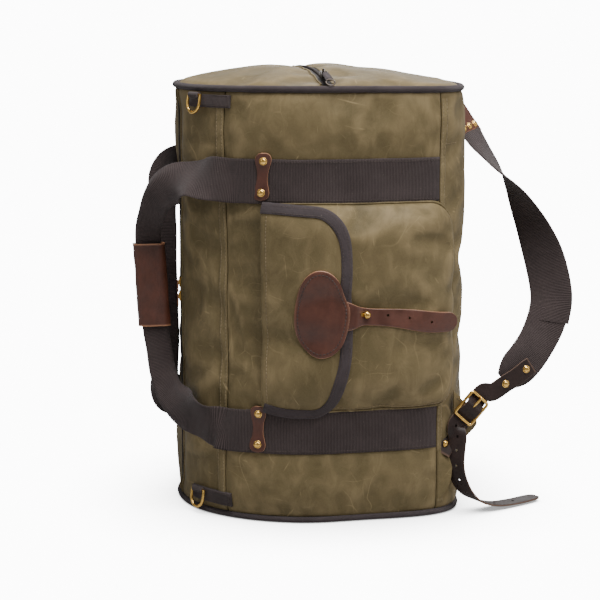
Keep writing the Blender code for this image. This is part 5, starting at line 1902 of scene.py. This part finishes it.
def anchor_rows(parts):
    """The tab that holds the buckle: from its middle bar, under the tail, to the corner seam."""
    side = parts["side"]
    ends = []
    for x, z in ((147, 92), (138, 82), (131, 73)):
        arc = arc_at(x * MM, side)
        point = FLAT_SKIN.at(arc, z * MM, 2.4 * MM)
        across = (0.68, 0.2 * side, -0.72)
        ends.append((*(point / MM), *across, 22 if x > 131 else 19))
    return parts["anchor"] + ends


def add_backpack_straps():
    for name, parts in STRAPS.items():
        body = "strap_" + name
        joint = next(j for j in record["behaviour"]["joints"] if j["child"] == body)
        pivot = Vector(joint["pos_m"])
        chape = leather_strap("leather_chape_" + name, parts["chape"], "leather", 4)
        settle(chape, "shell", "strap_chape_" + name)
        stations = strap_stations(parts["chape"], 4)
        centre, across, out = frame_at(stations, len(stations) - 3)
        out = out if out.x > 0 else -out
        for s in (-17, 0, 17):
            rivet_on(f"brass_chape_{name}_{s + 17:02d}", "shell",
                centre + across * s * MM + out * LEATHER * 0.4, out)
        webbing = ribbon("webbing_strap_" + name, parts["webbing"], WEBBING_THICK)
        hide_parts("strap_webbing_" + name)
        toward = (Vector(parts["webbing"][3][:3]) * MM - pivot).normalized()
        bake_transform(webbing)
        pad = ribbon("webbing_pad_" + name, parts["pad"], 3 * MM, crown=1.2)
        settle(pad, body)
        centre, across, along, out = buckle_axes(parts)
        sign = 1 if Vector(parts["leather"][-1][3:6]).dot(across) > 0 else -1
        through, beyond = [], []
        for route, found in ((THROUGH, through), (BEYOND, beyond)):
            for d, h in route:
                found.append((*((centre + along * d * MM + out * h * MM) / MM),
                    *(across * sign), 22))
        stations = strap_stations(parts["leather"] + through, 5)
        leather = leather_strap("leather_strap_" + name, parts["leather"] + through,
            "dark_leather", 5)
        punch(leather, [(centre + along * -3.4 * MM + out * 3.2 * MM, out)], 1.7 * MM)
        settle(leather, body, "strap_leather_" + name)
        tail = leather_strap("leather_tail_" + name, beyond + parts["tail"], "dark_leather", 5)
        places = strap_stations(beyond + parts["tail"], 5)
        punch(tail, [frame_at(places, k * 5)[::2] for k in range(2, len(places) // 5 - 2)])
        if name == "a":
            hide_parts("strap_tail_a")
            Vector(parts["tail"][2][:3]) * MM
            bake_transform(tail)
            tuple(centre)
        else:
            settle(tail, body)
        add_buckle(name, parts)
        for j in (1, 3):
            spot, _, face = frame_at(stations, (j if name == "a" else j - (j > 1)) * 5)
            face = face if face.y * parts["side"] > 0 or name == "b" and face.x > 0 else -face
            rivet_on(f"brass_pad_{name}_{j}", body, spot + face * LEATHER * 0.45, face)
        anchor = leather_strap("leather_anchor_" + name, anchor_rows(parts), "dark_leather", 5,
            2 * MM)
        low_end = FLAT_SKIN.at(arc_at(143 * MM, parts["side"]), 88 * MM)
        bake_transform(anchor)
        arc = arc_at(136.5 * MM, parts["side"])
        spot, way = FLAT_SKIN.at(arc, 84 * MM, 3.3 * MM), FLAT_SKIN.axes(arc, 84 * MM)[2]
        rivet_on("brass_anchor_" + name, "shell", spot, way)
        add_wing(name, parts["side"])


WINGS = {
    "a": ((148, -122, 110), (180, -112, 105)),
    "b": ((148, 119, 110), (177, 103, 103)),
}
WING_HALF = (36 * MM, 4 * MM)


def wing_at(name, t, s):
    """A point of the wing's middle sheet: t from its root to its tip, s from its lower to its upper edge."""
    root, tip = (Vector(v) * MM for v in WINGS[name])
    half = WING_HALF[0] * (1 - t) ** 0.9 + WING_HALF[1] * t
    fold = noise.noise(Vector((t * 3, s * 2, root.y * 40))) * 2.2 * MM * t
    return root.lerp(tip, t) + UP * s * half + Vector((0, fold, 0))


def add_wing(name, side):
    """Doubled canvas triangle, sewn into the corner seam and turned over at its edges."""
    outer, inner, uvs = [], [], []
    for t in spread(0, 1, 16):
        lines = ([], [], [])
        for s in [-1, -0.95, -0.85] + spread(-0.7, 0.7, 14) + [0.85, 0.95, 1]:
            thick = 1.7 * MM * (0.35 + 0.65 * math.sqrt(max(0.0, 1 - abs(s) ** 8)))
            place = wing_at(name, t, s)
            lines[0].append(place + Vector((0, thick * side, 0)))
            lines[1].append(place - Vector((0, thick * side, 0)))
            lines[2].append((place.x, place.z))
        for grid, line in zip((outer, inner, uvs), lines):
            grid.append(line)
    wing = thick_sheet("canvas_wing_" + name, outer, inner, "canvas", uvs, smooth=60)
    settle(wing, "shell", "strap_wing_" + name)
    away = Vector((0, side, 0))
    for s in (-0.86, 0.86):
        path = [(wing_at(name, t, s) + away * 1.8 * MM, away) for t in spread(0.1, 0.93, 20)]
        THREADS["shell"].run(path)


def add_corner_pleats():
    """The corner strip is folded over itself below each strap, which leaves a narrow open slot."""
    for side in (-1, 1):
        outer, inner, uvs = [], [], []
        for t in spread(0, 1, 18):
            z = (20 + 58 * t) * MM
            lines = ([], [], [])
            for s in spread(0, 1, 12):
                x = (124 + (6 + 13 * t**0.7) * s) * MM
                lift = (1.0 + 7.5 * s**1.6 * math.sin(math.pi * min(1, t * 1.15)) ** 0.8) * MM
                arc = arc_at(x, side)
                lines[0].append(SKIN.at(arc, z, lift + 0.9 * MM))
                lines[1].append(SKIN.at(arc, z, lift - 0.9 * MM))
                lines[2].append((x, z))
            for grid, line in zip((outer, inner, uvs), lines):
                grid.append(line)
        where = "front" if side < 0 else "back"
        settle(thick_sheet("canvas_pleat_" + where, outer, inner, "canvas", uvs, smooth=60),
            "shell")


# ---------------------------------------------------------------- camera, light and floor


WHITE = 12.0  # how bright the backdrop is to the camera


def set_camera():
    yaw, pitch = math.radians(11.6), math.radians(9.7)
    distance, height, shift = 2.185, 0.6135, -0.0133
    data = bpy.data.cameras.new("camera")
    data.lens = 108.1
    data.sensor_width = 36
    data.clip_end = 50
    camera = bpy.data.objects.new("camera", data)
    right = Vector((math.cos(yaw), -math.sin(yaw), 0))
    camera.location = Vector((-math.sin(yaw) * distance, -math.cos(yaw) * distance,
        height)) + right * shift
    ahead = Vector((math.sin(yaw), math.cos(yaw), 0)) * math.cos(pitch) - UP * math.sin(pitch)
    camera.rotation_euler = ahead.to_track_quat("-Z", "Y").to_euler()
    bpy.context.scene.collection.objects.link(camera)
    bpy.context.scene.camera = camera


def set_lights():
    for name, place, size, power in (
        ("key", (1.0, -2.0, 2.5), 1.1, 52),
        ("side", (-2.0, -0.9, 1.4), 1.5, 9),
        ("right", (2.1, -0.9, 1.0), 1.3, 9),
        ("top", (0.1, -0.5, 2.3), 1.1, 66),
        ("back", (0.9, 1.9, 1.6), 1.5, 26),
    ):
        light = bpy.data.lights.new(name, "AREA")
        light.size = size
        light.energy = power
        lamp = bpy.data.objects.new(name, light)
        lamp.location = place
        aim = Vector((0, 0, 0.25)) - Vector(place)
        lamp.rotation_euler = aim.to_track_quat("-Z", "Y").to_euler()
        bpy.context.scene.collection.objects.link(lamp)


def set_world():
    """Soft white light all round, and a brighter white where the camera looks past the bag."""
    world = bpy.data.worlds.new("studio")
    world.use_nodes = True
    tree = world.node_tree
    background = tree.nodes["Background"]
    background.inputs["Color"].default_value = (1, 1, 1, 1)
    path = tree.nodes.new("ShaderNodeLightPath")
    strength = tree.nodes.new("ShaderNodeMapRange")
    strength.inputs["To Min"].default_value = 0.26
    strength.inputs["To Max"].default_value = WHITE
    tree.links.new(path.outputs["Is Camera Ray"], strength.inputs["Value"])
    tree.links.new(strength.outputs["Result"], background.inputs["Strength"])
    bpy.context.scene.world = world


def set_floor():
    """A white sweep that glows to the camera as bright as the backdrop, save in a painted soft shadow under the
    bag.
    """
    material = bpy.data.materials.new("floor")
    material.use_nodes = True
    tree = material.node_tree
    shader = tree.nodes["Principled BSDF"]
    shader.inputs["Base Color"].default_value = (0.5, 0.5, 0.5, 1)
    shader.inputs["Roughness"].default_value = 0.12
    # painted shadow: the floor's glow to the camera is dimmed by ambient occlusion near the bag
    shade = tree.nodes.new("ShaderNodeAmbientOcclusion")
    shade.inputs["Distance"].default_value = 0.16
    shade.samples = 12
    strength = tree.nodes.new("ShaderNodeMapRange")
    for name, value in (("From Min", 0.25), ("From Max", 0.97), ("To Min", 0.5),
        ("To Max", 1.13 * WHITE)):
        strength.inputs[name].default_value = value
    path = tree.nodes.new("ShaderNodeLightPath")
    glow = tree.nodes.new("ShaderNodeEmission")
    seen = tree.nodes.new("ShaderNodeMath")
    seen.operation = "MULTIPLY"
    seen.inputs[1].default_value = 0.88
    mix = tree.nodes.new("ShaderNodeMixShader")
    output = tree.nodes["Material Output"]
    tree.links.new(shade.outputs["AO"], strength.inputs["Value"])
    tree.links.new(strength.outputs["Result"], glow.inputs["Strength"])
    tree.links.new(path.outputs["Is Camera Ray"], seen.inputs[0])
    tree.links.new(seen.outputs["Value"], mix.inputs[0])
    tree.links.new(shader.outputs["BSDF"], mix.inputs[1])
    tree.links.new(glow.outputs["Emission"], mix.inputs[2])
    tree.links.new(mix.outputs["Shader"], output.inputs["Surface"])
    mesh = bpy.data.meshes.new("floor")
    size = 8.0
    mesh.from_pydata([(-size, -size, 0), (size, -size, 0), (size, size, 0), (-size, size, 0)], [],
        [(0, 1, 2, 3)])
    mesh.materials.append(material)
    floor = bpy.data.objects.new("floor", mesh)
    floor.location.z = -0.0005
    bpy.context.scene.collection.objects.link(floor)


def set_stage():
    set_camera()
    set_lights()
    set_world()
    set_floor()


add_panels()
add_seams()
add_bands()
add_piping()
add_end_panels()
add_end_zip()
add_main_zip()
add_handles()
add_sleeve()
add_chapes()
add_d_rings()
add_pocket()
add_flap()
add_oval()
add_tongue()
add_backpack_straps()
add_corner_pleats()
for thread in THREADS.values():
    if thread.verts:
        thread.make()
set_stage()
